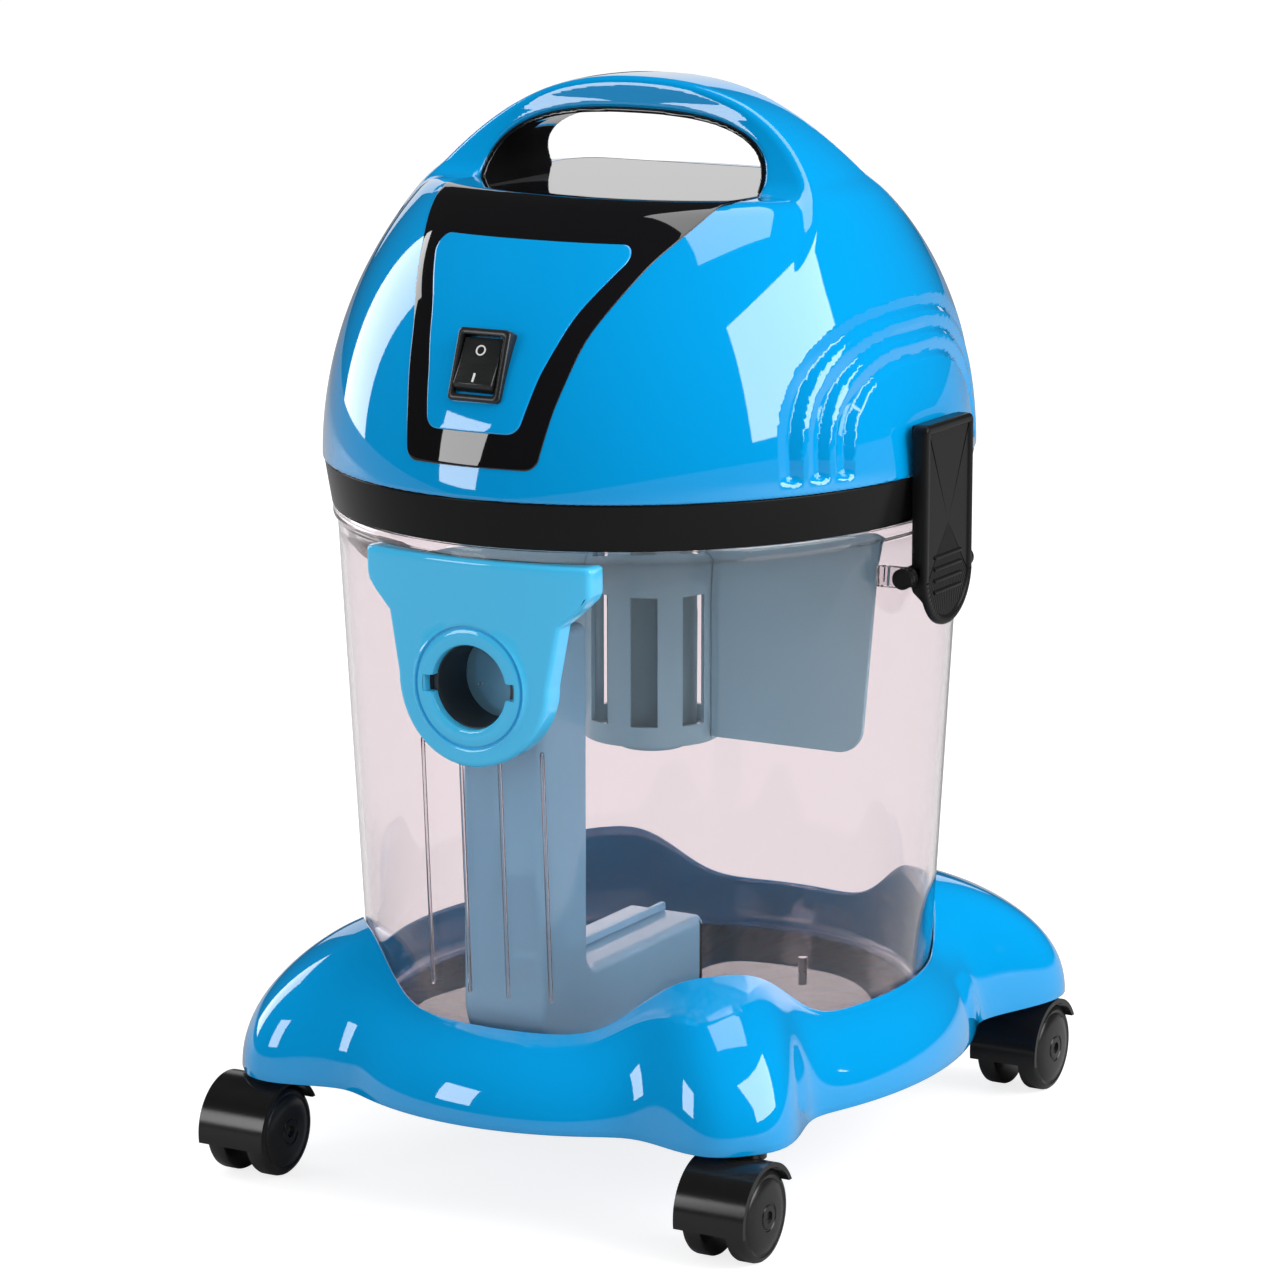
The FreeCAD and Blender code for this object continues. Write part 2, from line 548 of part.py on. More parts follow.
# ---------------------------------------------------------------- motor
def make_motor():
    up = V(0, 0, 1)
    z0 = PLATE_Z1
    save("motor_bottom_mount", tube(60.0, 44.0, V(0, 0, z0), up, 4.0))
    housing = spun([(17, z0 + 4), (60, z0 + 4), (60, z0 + 34), (41, z0 + 34), (41, z0 + 32.2), (58.2, z0 + 32.2),
                    (58.2, z0 + 5.8), (17, z0 + 5.8)])
    save("fan_housing", housing)
    can = spun([(9, z0 + 32.2), (41, z0 + 32.2), (41, z0 + 95), (9, z0 + 95), (9, z0 + 89), (11, z0 + 89),
                (11, z0 + 93), (39, z0 + 93), (39, z0 + 34.2), (11, z0 + 34.2), (11, z0 + 38), (9, z0 + 38)])
    save("motor_can", can)
    save("motor_stator", tube(39.0, 26.0, V(0, 0, z0 + 44), up, 38.0))
    bearings = [tube(9.0, 4.05, V(0, 0, z0 + z), up, 6.0) for z in (32.2, 89.0)]
    save("motor_bearings", *bearings)
    save("motor_shaft", rod(4.0, V(0, 0, z0 + 7), up, 90.0))
    save("armature", tube(25.0, 4.0, V(0, 0, z0 + 45), up, 36.0))
    lower = tube(54.0, 4.0, V(0, 0, z0 + 8), up, 1.6).cut(tube(18.0, 9.0, V(0, 0, z0 + 7), up, 3.0))
    hub = tube(9.0, 4.0, V(0, 0, z0 + 8), up, 20.0)
    upper = tube(54.0, 4.0, V(0, 0, z0 + 26), up, 1.6)
    blades = []
    for n in range(9):
        blade = box(8.5, 53.0, -0.7, 0.7, z0 + 9, z0 + 26.5)
        blade.rotate(V(0, 0, 0), V(0, 0, 1), n * 40.0)
        blades.append(blade)
    save("impeller", lower.multiFuse([hub, upper] + blades))
    save("motor_top_mount", rod(22.0, V(0, 0, z0 + 95), up, 9.6).cut(rod(7.0, V(0, 0, z0 + 95), up, 5.0)))
    cover = spun([(70, z0), (72, z0), (72, z0 + 92), (58, z0 + 107), (0, z0 + 107), (0, z0 + 104.6),
                  (57, z0 + 104.6), (70, z0 + 91)])
    for n in range(12):
        slot = box(60, 80, -5, 5, z0 + 55, z0 + 60)
        slot.rotate(V(0, 0, 0), V(0, 0, 1), n * 30.0 + 15)
        cover = cover.cut(slot)
    save("motor_cover", cover)


# ---------------------------------------------------------------- separator under the head
def make_separator():
    up = V(0, 0, 1)
    cage = tube(30.0, 28.0, V(0, 0, 183), up, PLATE_Z0 - 183)
    cage = cage.fuse(tube(30.0, 14.6, V(0, 0, 183), up, 2.0))
    for n in range(8):
        window = box(20, 40, -6, 6, 192, 250)
        window.rotate(V(0, 0, 0), V(0, 0, 1), n * 45.0 + 22.5)
        cage = cage.cut(window)
    save("filter_cage", cage)
    save("foam_filter", tube(20.0, 14.6, V(0, 0, 185), up, PLATE_Z0 - 185.4))
    inner = tube(14.4, 12.6, V(0, 0, 178), up, PLATE_Z0 - 178)
    inner = inner.fuse(tube(14.4, 5.0, V(0, 0, 178), up, 2.0))
    for n in range(4):
        window = box(10, 18, -3.5, 3.5, 190, 280)
        window.rotate(V(0, 0, 0), V(0, 0, 1), n * 90.0 + 45)
        inner = inner.cut(window)
    save("float_cage", inner)
    save("float", rod(10.5, V(0, 0, 180.4), up, 26.0).fuse(rod(3.0, V(0, 0, 206), up, 70.0)))
    wing = [V(30.0, -1.25, PLATE_Z0), V(113.5, -1.25, PLATE_Z0), V(105.0, -1.25, 192.0), V(98.0, -1.25, 185.0),
            V(30.0, -1.25, 185.0)]
    plate = prism(wing, V(0, 2.5, 0))
    foot = box(36, 100, -6, 6, PLATE_Z0 - 2, PLATE_Z0)
    wing_right = plate.fuse(foot).cut(rod(30.0, V(0, 0, 180), up, 130))
    save("splash_plate_right", wing_right)
    save("splash_plate_left", mirror_x(wing_right))


# ---------------------------------------------------------------- castors
def make_castor(name, x, y):
    axle_y = y - CASTOR_TRAIL
    along = V(1, 0, 0)
    hood = tube(23.0, 20.9, V(x - 16.5, axle_y, WHEEL_R), along, 33.0)
    hood = hood.cut(box(x - 20, x + 20, axle_y, axle_y + 30, -5, WHEEL_R + 11))
    hood = hood.cut(box(x - 20, x + 20, axle_y - 30, axle_y + 1, -5, WHEEL_R - 4))
    web = rod(10.0, V(x - 4.9, axle_y, WHEEL_R), along, 9.8)
    web = web.fuse(box(x - 4.9, x + 4.9, axle_y - 7, y + 7, WHEEL_R, WHEEL_R + 21.5))
    web = web.fuse(rod(22.0, V(x - 4.9, axle_y, WHEEL_R), along, 9.8).cut(
        box(x - 20, x + 20, axle_y - 30, axle_y + 40, -5, WHEEL_R)))
    neck = rod(9.0, V(x, y, WHEEL_R + 21.2), V(0, 0, 1), BASE_Z - WHEEL_R - 21.5)
    fork = hood.multiFuse([web, neck])
    stem = rod(5.5, V(x, y, WHEEL_R + 21.4), V(0, 0, 1), 18.0)
    stem = stem.fuse(rod(3.3, V(x, y, WHEEL_R + 7.0), V(0, 0, 1), 14.4))
    fork = fork.cut(stem).cut(rod(2.55, V(x - 20, axle_y, WHEEL_R), along, 40))
    save("castor_fork_" + name, fork.removeSplitter())
    save("castor_stem_" + name, stem)
    save("castor_axle_" + name, rod(2.5, V(x - 15.0, axle_y, WHEEL_R), along, 30.0))
    profile = [(2.5, 5.6), (18.8, 5.6), (WHEEL_R, 6.8), (WHEEL_R, 13.2), (18.6, 15.6), (14.0, 16.6), (2.5, 16.6)]
    face = Part.Face(Part.makePolygon([V(w, 0, r) for r, w in profile + profile[:1]]))
    wheel = face.revolve(V(0, 0, 0), V(1, 0, 0), 360)
    other = mirror_x(wheel)
    for piece in (wheel, other):
        piece.translate(V(x, axle_y, WHEEL_R))
    save("castor_wheels_" + name, wheel, other)


def main():
    os.makedirs("parts", exist_ok=True)
    make_base()
    make_base_screws()
    make_tank()
    make_inlet()
    make_latches()
    make_head()
    make_motor_plate()
    make_switch()
    make_motor()
    make_separator()
    for name, x, y in castor_places():
        make_castor(name, x, y)


main()
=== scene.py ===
"""Wet and dry shop vacuum: the visible pieces, their finishes and a plain studio.

Lengths are millimetres in the classes and become metres when a mesh is made.
"""
import json
import logging
import math
from dataclasses import dataclass
from enum import Enum
from typing import Callable, Dict, List, Optional, Sequence, Tuple

import bmesh
import bpy
import numpy as np
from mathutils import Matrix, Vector

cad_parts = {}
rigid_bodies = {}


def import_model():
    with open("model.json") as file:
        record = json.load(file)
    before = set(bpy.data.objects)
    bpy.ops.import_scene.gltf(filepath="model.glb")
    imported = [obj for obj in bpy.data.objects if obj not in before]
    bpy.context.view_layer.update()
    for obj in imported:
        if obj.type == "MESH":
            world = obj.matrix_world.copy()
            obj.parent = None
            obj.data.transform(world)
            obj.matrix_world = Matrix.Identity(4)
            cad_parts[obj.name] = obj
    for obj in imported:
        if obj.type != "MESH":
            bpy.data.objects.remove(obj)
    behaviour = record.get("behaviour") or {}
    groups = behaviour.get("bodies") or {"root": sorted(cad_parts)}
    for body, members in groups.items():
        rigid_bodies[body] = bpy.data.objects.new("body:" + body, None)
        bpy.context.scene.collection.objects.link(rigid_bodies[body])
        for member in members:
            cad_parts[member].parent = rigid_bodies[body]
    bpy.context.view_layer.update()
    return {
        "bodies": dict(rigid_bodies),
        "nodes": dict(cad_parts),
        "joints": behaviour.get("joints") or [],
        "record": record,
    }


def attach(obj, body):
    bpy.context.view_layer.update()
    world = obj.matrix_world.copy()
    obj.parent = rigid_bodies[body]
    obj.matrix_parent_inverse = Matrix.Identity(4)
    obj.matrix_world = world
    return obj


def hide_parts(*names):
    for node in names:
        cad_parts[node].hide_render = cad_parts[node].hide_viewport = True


MM = 0.001
OVAL = 1.1365
LATCH_PIVOT_X = 138.5
LATCH_PIVOT_Z = 271.0
INLET_Z = 233.0
LOG = logging.getLogger("shop_vacuum")
Pair = Tuple[float, float]
Triple = Tuple[float, float, float]
Colour = Tuple[float, float, float, float]
Place = Callable[[np.ndarray, float], np.ndarray]


# ------------------------------------------------------------------ outlines
def arc_points(centre: Pair, radius: float, start: float, end: float, count: int) -> List[Pair]:
    """Points on an arc from one angle to another, in radians.

    Args:
        centre: the arc's centre.
        radius: its radius.
        start: the first angle.
        end: the last angle.
        count: how many points.

    Returns:
        The points in order.
    """
    turns = np.linspace(start, end, count)
    return [(centre[0] + radius * math.cos(t), centre[1] + radius * math.sin(t)) for t in turns]


def rounded(corners: Sequence[Tuple[float, float, float]], spacing: float) -> np.ndarray:
    """Closed outline through corners, each with its own rounding radius.

    Args:
        corners: (u, v, radius) of each corner, counter-clockwise.
        spacing: rough distance between the points on the straight stretches.

    Returns:
        An (n, 2) array of points.
    """
    out: List[Pair] = []
    total = len(corners)
    for i in range(total):
        before, here, after = (np.array(corners[(i + k) % total][:2], float) for k in (-1, 0, 1))
        radius = corners[i][2]
        into = (before - here) / np.linalg.norm(before - here)
        away = (after - here) / np.linalg.norm(after - here)
        half = 0.5 * math.acos(max(-1.0, min(1.0, float(np.dot(into, away)))))
        reach = radius / math.tan(half)
        middle = here + (into + away) / np.linalg.norm(into + away) * radius / math.sin(half)
        first, last = here + into * reach, here + away * reach
        a0 = math.atan2(*(first - middle)[::-1])
        a1 = math.atan2(*(last - middle)[::-1])
        sweep = (a1 - a0 + math.pi) % (2.0 * math.pi) - math.pi
        count = max(3, int(abs(sweep) * max(radius, 1.0) / spacing) + 2, int(abs(sweep) / 0.2) + 2)
        out += arc_points(tuple(middle), radius, a0, a0 + sweep, count)
    loop = np.array(out)
    return fill_gaps(loop, spacing)


def fill_gaps(loop: np.ndarray, spacing: float) -> np.ndarray:
    """Adds points along the long straight stretches of a closed outline.

    Args:
        loop: (n, 2) points.
        spacing: the longest step to leave.

    Returns:
        The outline with more points.
    """
    out: List[np.ndarray] = []
    for a, b in zip(loop, np.roll(loop, -1, axis=0)):
        steps = max(1, int(np.linalg.norm(b - a) / spacing))
        out += [a + (b - a) * s / steps for s in range(steps)]
    return np.array(out)


def inset(loop: np.ndarray, depth: float) -> np.ndarray:
    """A counter-clockwise outline moved inwards.

    Args:
        loop: (n, 2) points.
        depth: how far.

    Returns:
        The moved outline, point for point.
    """
    along = np.roll(loop, -1, axis=0) - np.roll(loop, 1, axis=0)
    along /= np.linalg.norm(along, axis=1)[:, None] + 1e-9
    return loop + np.stack([-along[:, 1], along[:, 0]], axis=1) * depth


def ellipse(a: float, b: float, count: int) -> np.ndarray:
    """Counter-clockwise ellipse as an (n, 2) array."""
    t = np.linspace(0.0, 2.0 * math.pi, count, endpoint=False)
    return np.stack([a * np.cos(t), b * np.sin(t)], axis=1)


def smooth_step(low: float, high: float, value: np.ndarray) -> np.ndarray:
    """0 below low, 1 above high and a soft ramp between."""
    t = np.clip((value - low) / (high - low), 0.0, 1.0)
    return t * t * (3.0 - 2.0 * t)


# ------------------------------------------------------------------ meshes
class Mesher:
    """Turns rings of points and implicit shapes into Blender objects."""

    @staticmethod
    def build(name: str, points: np.ndarray, faces: List[Sequence[int]], sharp: float = 40.0,
              normals: Optional[np.ndarray] = None) -> bpy.types.Object:
        """Makes a smooth-shaded object.

        Args:
            name: the object's name.
            points: (n, 3) corners in millimetres.
            faces: corner numbers of each face.
            sharp: edges that turn by more than this, in degrees, stay crisp.
            normals: one normal for each corner, where the surface is known exactly.

        Returns:
            The object, linked to the scene.
        """
        mesh = bpy.data.meshes.new(name)
        mesh.from_pydata((np.asarray(points, float) * MM).tolist(), [], [list(map(int, f)) for f in faces])
        mesh.validate()
        mesh.update()
        mesh.shade_smooth()
        if normals is None:
            mesh.set_sharp_from_angle(angle=math.radians(sharp))
        else:
            mesh.normals_split_custom_set_from_vertices(normals.tolist())
        piece = bpy.data.objects.new(name, mesh)
        bpy.context.scene.collection.objects.link(piece)
        return piece

    @staticmethod
    def ring_faces(rings: int, count: int, start: int = 0, close: bool = False) -> List[Sequence[int]]:
        """Quads between successive closed rings.

        Args:
            rings: how many rings.
            count: points in each.
            start: number of the first point.
            close: joins the last ring back to the first.

        Returns:
            The faces.
        """
        faces = []
        for r in range(rings if close else rings - 1):
            a = start + r * count
            b = start + ((r + 1) % rings) * count
            for i in range(count):
                j = (i + 1) % count
                faces.append((a + i, a + j, b + j, b + i))
        return faces

    @classmethod
    def skin(cls, name: str, rings: Sequence[np.ndarray], close: bool = False, caps: bool = True,
             sharp: float = 40.0) -> bpy.types.Object:
        """A closed skin over rings of points.

        Args:
            name: the object's name.
            rings: (n, 3) arrays with the same number of points.
            close: joins the last ring to the first, as in a tube bent into a ring.
            caps: closes the two ends with a face each.
            sharp: crisp-edge angle in degrees.

        Returns:
            The object.
        """
        count = len(rings[0])
        faces = cls.ring_faces(len(rings), count, close=close)
        if caps and not close:
            faces.append(tuple(range(count))[::-1])
            faces.append(tuple(range((len(rings) - 1) * count, len(rings) * count)))
        piece = cls.build(name, np.concatenate(rings), faces, sharp)
        cls.face_outwards(piece)
        return piece

    @staticmethod
    def face_outwards(piece: bpy.types.Object) -> None:
        """Turns every face of a closed piece to look outwards."""
        work = bmesh.new()
        work.from_mesh(piece.data)
        bmesh.ops.recalc_face_normals(work, faces=work.faces)
        work.to_mesh(piece.data)
        work.free()

    @staticmethod
    def cut(piece: bpy.types.Object, tool: bpy.types.Object) -> None:
        """Cuts one closed piece out of another and removes the tool."""
        hole = piece.modifiers.new("hole", "BOOLEAN")
        hole.operation = "DIFFERENCE"
        hole.solver = "EXACT"
        hole.object = tool
        done = bpy.data.meshes.new_from_object(piece.evaluated_get(bpy.context.evaluated_depsgraph_get()))
        piece.modifiers.clear()
        piece.data = done
        bpy.data.objects.remove(tool)

    @staticmethod
    def join(name: str, pieces: Sequence[bpy.types.Object]) -> bpy.types.Object:
        """Joins pieces into one object with the given name.

        Args:
            name: name of the result.
            pieces: the pieces, which are used up.

        Returns:
            The joined object.
        """
        with bpy.context.temp_override(active_object=pieces[0], selected_editable_objects=list(pieces),
                                       selected_objects=list(pieces), object=pieces[0]):
            bpy.ops.object.join()
        pieces[0].name = name
        pieces[0].data.name = name
        return pieces[0]

    @classmethod
    def spun(cls, name: str, profile: Sequence[Pair], axis: str = "z", centre: Sequence[float] = (0, 0, 0),
             stretch: float = 1.0, count: int = 96, sharp: float = 40.0) -> bpy.types.Object:
        """A closed profile turned round an axis.

        Args:
            name: the object's name.
            profile: (radius, height) points of a closed loop.
            axis: "x", "y" or "z".
            centre: where the axis stands.
            stretch: length of the ring along its second direction, over its first.
            count: points round the turn.
            sharp: crisp-edge angle in degrees.

        Returns:
            The object.
        """
        rings = []
        for radius, height in profile:
            flat = ellipse(radius, radius * stretch, count)
            up = np.full(count, height)
            columns = {"z": (flat[:, 0], flat[:, 1], up), "x": (up, flat[:, 0], flat[:, 1]),
                       "y": (flat[:, 0], up, flat[:, 1])}[axis]
            rings.append(np.stack(columns, axis=1) + np.array(centre, float))
        return cls.skin(name, rings, close=True, sharp=sharp)

    @classmethod
    def slab(cls, name: str, loop: np.ndarray, place: Place, thick: float,
             edge: float, back_edge: float = 0.3, steps: int = 4) -> bpy.types.Object:
        """A plate with a rounded front edge.

        Args:
            name: the object's name.
            loop: its outline.
            place: turns outline points and a height above the back into (n, 3) points.
            thick: thickness.
            edge: radius of the front edge.
            back_edge: radius of the back edge.
            steps: points across each rounded edge.

        Returns:
            The object.
        """
        rings = []
        for k in range(steps + 1):
            turn = 0.5 * math.pi * k / steps
            shrink, height = back_edge * (1 - math.sin(turn)), back_edge * (1 - math.cos(turn))
            rings.append(place(inset(loop, shrink), height))
        for k in range(steps + 1):
            turn = 0.5 * math.pi * k / steps
            shrink, height = edge * (1 - math.cos(turn)), thick - edge * (1 - math.sin(turn))
            rings.append(place(inset(loop, shrink), height))
        return cls.skin(name, rings)


def bend_round(profile: Sequence[Pair], radius: float, steps: int = 4) -> List[Pair]:
    """Rounds every corner of a closed (radius, height) profile by the same small radius.

    Args:
        profile: the corners.
        radius: rounding radius.
        steps: points to each corner.

    Returns:
        The rounded profile.
    """
    out: List[Pair] = []
    total = len(profile)
    for i in range(total):
        before, here, after = (np.array(profile[(i + k) % total], float) for k in (-1, 0, 1))
        reach = min(radius, 0.45 * np.linalg.norm(before - here), 0.45 * np.linalg.norm(after - here))
        first = here + (before - here) / np.linalg.norm(before - here) * reach
        last = here + (after - here) / np.linalg.norm(after - here) * reach
        for k in range(steps + 1):
            t = k / steps
            point = first * (1 - t) ** 2 + here * 2 * t * (1 - t) + last * t ** 2
            out.append((float(point[0]), float(point[1])))
    return out


class Implicit:
    """A solid given by a field that is negative inside, meshed evenly and moved exactly on to its surface."""

    def __init__(self, depth: Callable[[np.ndarray, np.ndarray, np.ndarray], np.ndarray]) -> None:
        """Keeps the field."""
        self.depth = depth

    def slope(self, points: np.ndarray, reach: float = 0.05) -> np.ndarray:
        """Direction in which the field grows, at each point.

        Args:
            points: (n, 3) points.
            reach: half the distance that the difference is taken over.

        Returns:
            (n, 3) slopes.
        """
        out = np.zeros_like(points)
        for axis in range(3):
            step = np.zeros(3)
            step[axis] = reach
            ahead, behind = points + step, points - step
            out[:, axis] = (self.depth(*ahead.T) - self.depth(*behind.T)) / (2.0 * reach)
        return out

    def mesh(self, name: str, low: Sequence[float], high: Sequence[float], step: float) -> bpy.types.Object:
        """Meshes the solid inside a box.

        Args:
            name: the object's name.
            low: lowest corner of the box.
            high: highest corner.
            step: size of the mesh.

        Returns:
            The object.
        """
        axes = [np.arange(low[i], high[i] + step, step) for i in range(3)]
        values = self.depth(*np.meshgrid(*axes, indexing="ij"))
        inside = values < 0
        cells = np.array(values.shape) - 1
        total = np.zeros((int(np.prod(cells)), 3), np.float64)
        count = np.zeros(int(np.prod(cells)), np.int32)
        faces = []
        for axis in range(3):
            lower = tuple(slice(0, -1) if k == axis else slice(1, -1) for k in range(3))
            upper = tuple(slice(1, None) if k == axis else slice(1, -1) for k in range(3))
            found = np.argwhere(inside[lower] != inside[upper])
            shift = np.array([0 if k == axis else 1 for k in range(3)])
            index = found + shift
            ahead = index.copy()
            ahead[:, axis] += 1
            v0 = values[tuple(index.T)]
            v1 = values[tuple(ahead.T)]
            place = np.array([axes[k][0] for k in range(3)]) + index * step
            place[:, axis] += step * v0 / (v0 - v1)
            b, c = (axis + 1) % 3, (axis + 2) % 3
            corners = []
            for db, dc in ((0, 0), (1, 0), (1, 1), (0, 1)):
                cell = index.copy()
                cell[:, b] -= db
                cell[:, c] -= dc
                number = np.ravel_multi_index(tuple(cell.T), tuple(cells))
                np.add.at(total, number, place)
                np.add.at(count, number, 1)
                corners.append(number)
            quads = np.stack(corners, axis=1)
            flip = v0 >= 0
            quads[flip] = quads[flip][:, ::-1]
            faces.append(quads)
        used = np.flatnonzero(count)
        fresh = np.full(len(count), -1, np.int64)
        fresh[used] = np.arange(len(used))
        points = total[used] / count[used][:, None]
        for _ in range(4):
            slope = self.slope(points)
            move = self.depth(*points.T)[:, None] * slope / (np.sum(slope ** 2, axis=1)[:, None] + 1e-9)
            points -= np.clip(move, -0.6 * step, 0.6 * step)
        normals = self.slope(points)
        normals /= np.linalg.norm(normals, axis=1)[:, None] + 1e-9
        return Mesher.build(name, points, fresh[np.concatenate(faces)].tolist(), normals=normals)


def soft_min(a: np.ndarray, b: np.ndarray, radius: float) -> np.ndarray:
    """Union of two fields with a fillet of about this radius."""
    blend = np.clip(0.5 + 0.5 * (b - a) / radius, 0.0, 1.0)
    return b * (1 - blend) + a * blend - radius * blend * (1 - blend)


def soft_max(a: np.ndarray, b: np.ndarray, radius: float) -> np.ndarray:
    """Overlap of two fields with a rounded edge of about this radius."""
    return -soft_min(-a, -b, radius)


# ------------------------------------------------------------------ finishes
class Effect(Enum):
    """Shader groups that several finishes share."""

    GRAIN = "moulded_grain"
    DUST = "settled_dust"
    SCUFF = "hairline_scuffs"


class Effects:
    """Builds each shared shader group once."""

    made: Dict[Effect, bpy.types.NodeTree] = {}

    @classmethod
    def get(cls, effect: Effect) -> bpy.types.NodeTree:
        """The shader group for an effect, built on first use."""
        if effect not in cls.made:
            builders = {Effect.GRAIN: cls.grain, Effect.DUST: cls.dust, Effect.SCUFF: cls.scuff}
            cls.made[effect] = builders[effect]()
        return cls.made[effect]

    @staticmethod
    def start(effect: Effect, inputs: Sequence[Tuple[str, float]],
              outputs: Sequence[str]) -> bpy.types.NodeTree:
        """A shader group with its named sockets.

        Args:
            effect: which effect.
            inputs: socket names with their usual values.
            outputs: names of the values that it puts out.

        Returns:
            The group with its input and output nodes.
        """
        tree = bpy.data.node_groups.new(effect.value, "ShaderNodeTree")
        for name, value in inputs:
            socket = tree.interface.new_socket(name=name, in_out="INPUT", socket_type="NodeSocketFloat")
            socket.default_value = value
        for name in outputs:
            tree.interface.new_socket(name=name, in_out="OUTPUT", socket_type="NodeSocketFloat")
        tree.nodes.new("NodeGroupInput").name = "in"
        tree.nodes.new("NodeGroupOutput").name = "out"
        return tree

    @staticmethod
    def noise(tree: bpy.types.NodeTree, detail: float, rough: float) -> bpy.types.Node:
        """A noise texture in object space, with its scale left to be linked."""
        where = tree.nodes.new("ShaderNodeTexCoord")
        noise = tree.nodes.new("ShaderNodeTexNoise")
        noise.inputs["Detail"].default_value = detail
        noise.inputs["Roughness"].default_value = rough
        tree.links.new(where.outputs["Object"], noise.inputs["Vector"])
        return noise

    @staticmethod
    def math(tree: bpy.types.NodeTree, kind: str, a: object, b: object) -> bpy.types.NodeSocket:
        """One math node; a and b are sockets or numbers.

        Args:
            tree: the tree it goes in.
            kind: Blender's name for the operation.
            a: first value.
            b: second value.

        Returns:
            The node's output.
        """
        node = tree.nodes.new("ShaderNodeMath")
        node.operation = kind
        for socket, value in zip(node.inputs, (a, b)):
            if isinstance(value, (int, float)):
                socket.default_value = value
            else:
                tree.links.new(value, socket)
        return node.outputs[0]

    @classmethod
    def grain(cls) -> bpy.types.NodeTree:
        """Fine moulded texture: a height and a soft mask that varies over the piece."""
        tree = cls.start(Effect.GRAIN, (("Scale", 900.0), ("Broad Scale", 18.0)), ("Height", "Broad"))
        fine = cls.noise(tree, 3.0, 0.6)
        broad = cls.noise(tree, 2.0, 0.5)
        tree.links.new(tree.nodes["in"].outputs["Scale"], fine.inputs["Scale"])
        tree.links.new(tree.nodes["in"].outputs["Broad Scale"], broad.inputs["Scale"])
        tree.links.new(fine.outputs["Fac"], tree.nodes["out"].inputs["Height"])
        tree.links.new(broad.outputs["Fac"], tree.nodes["out"].inputs["Broad"])
        return tree

    @classmethod
    def dust(cls) -> bpy.types.NodeTree:
        """Dust that settles on faces that look up, in soft patches."""
        tree = cls.start(Effect.DUST, (("Scale", 60.0), ("Amount", 0.1)), ("Mask",))
        shape = tree.nodes.new("ShaderNodeNewGeometry")
        split = tree.nodes.new("ShaderNodeSeparateXYZ")
        tree.links.new(shape.outputs["Normal"], split.inputs[0])
        noise = cls.noise(tree, 6.0, 0.65)
        tree.links.new(tree.nodes["in"].outputs["Scale"], noise.inputs["Scale"])
        up = cls.math(tree, "POWER", cls.math(tree, "MAXIMUM", split.outputs["Z"], 0.0), 2.0)
        patch = cls.math(tree, "MULTIPLY", up, noise.outputs["Fac"])
        mask = cls.math(tree, "MULTIPLY", patch, tree.nodes["in"].outputs["Amount"])
        tree.links.new(mask, tree.nodes["out"].inputs["Mask"])
        return tree

    @classmethod
    def scuff(cls) -> bpy.types.NodeTree:
        """Hairline scuffs: thin lines where a stretched noise crosses its middle value."""
        tree = cls.start(Effect.SCUFF, (("Scale", 40.0), ("Width", 0.02)), ("Mask",))
        where = tree.nodes.new("ShaderNodeTexCoord")
        turn = tree.nodes.new("ShaderNodeMapping")
        turn.inputs["Scale"].default_value = (1.0, 1.0, 7.0)
        turn.inputs["Rotation"].default_value = (0.6, 0.3, 0.2)
        noise = tree.nodes.new("ShaderNodeTexNoise")
        noise.inputs["Detail"].default_value = 4.0
        tree.links.new(where.outputs["Object"], turn.inputs["Vector"])
        tree.links.new(turn.outputs["Vector"], noise.inputs["Vector"])
        tree.links.new(tree.nodes["in"].outputs["Scale"], noise.inputs["Scale"])
        off = cls.math(tree, "ABSOLUTE", cls.math(tree, "SUBTRACT", noise.outputs["Fac"], 0.5), 0.0)
        line = cls.math(tree, "LESS_THAN", off, tree.nodes["in"].outputs["Width"])
        tree.links.new(line, tree.nodes["out"].inputs["Mask"])
        return tree


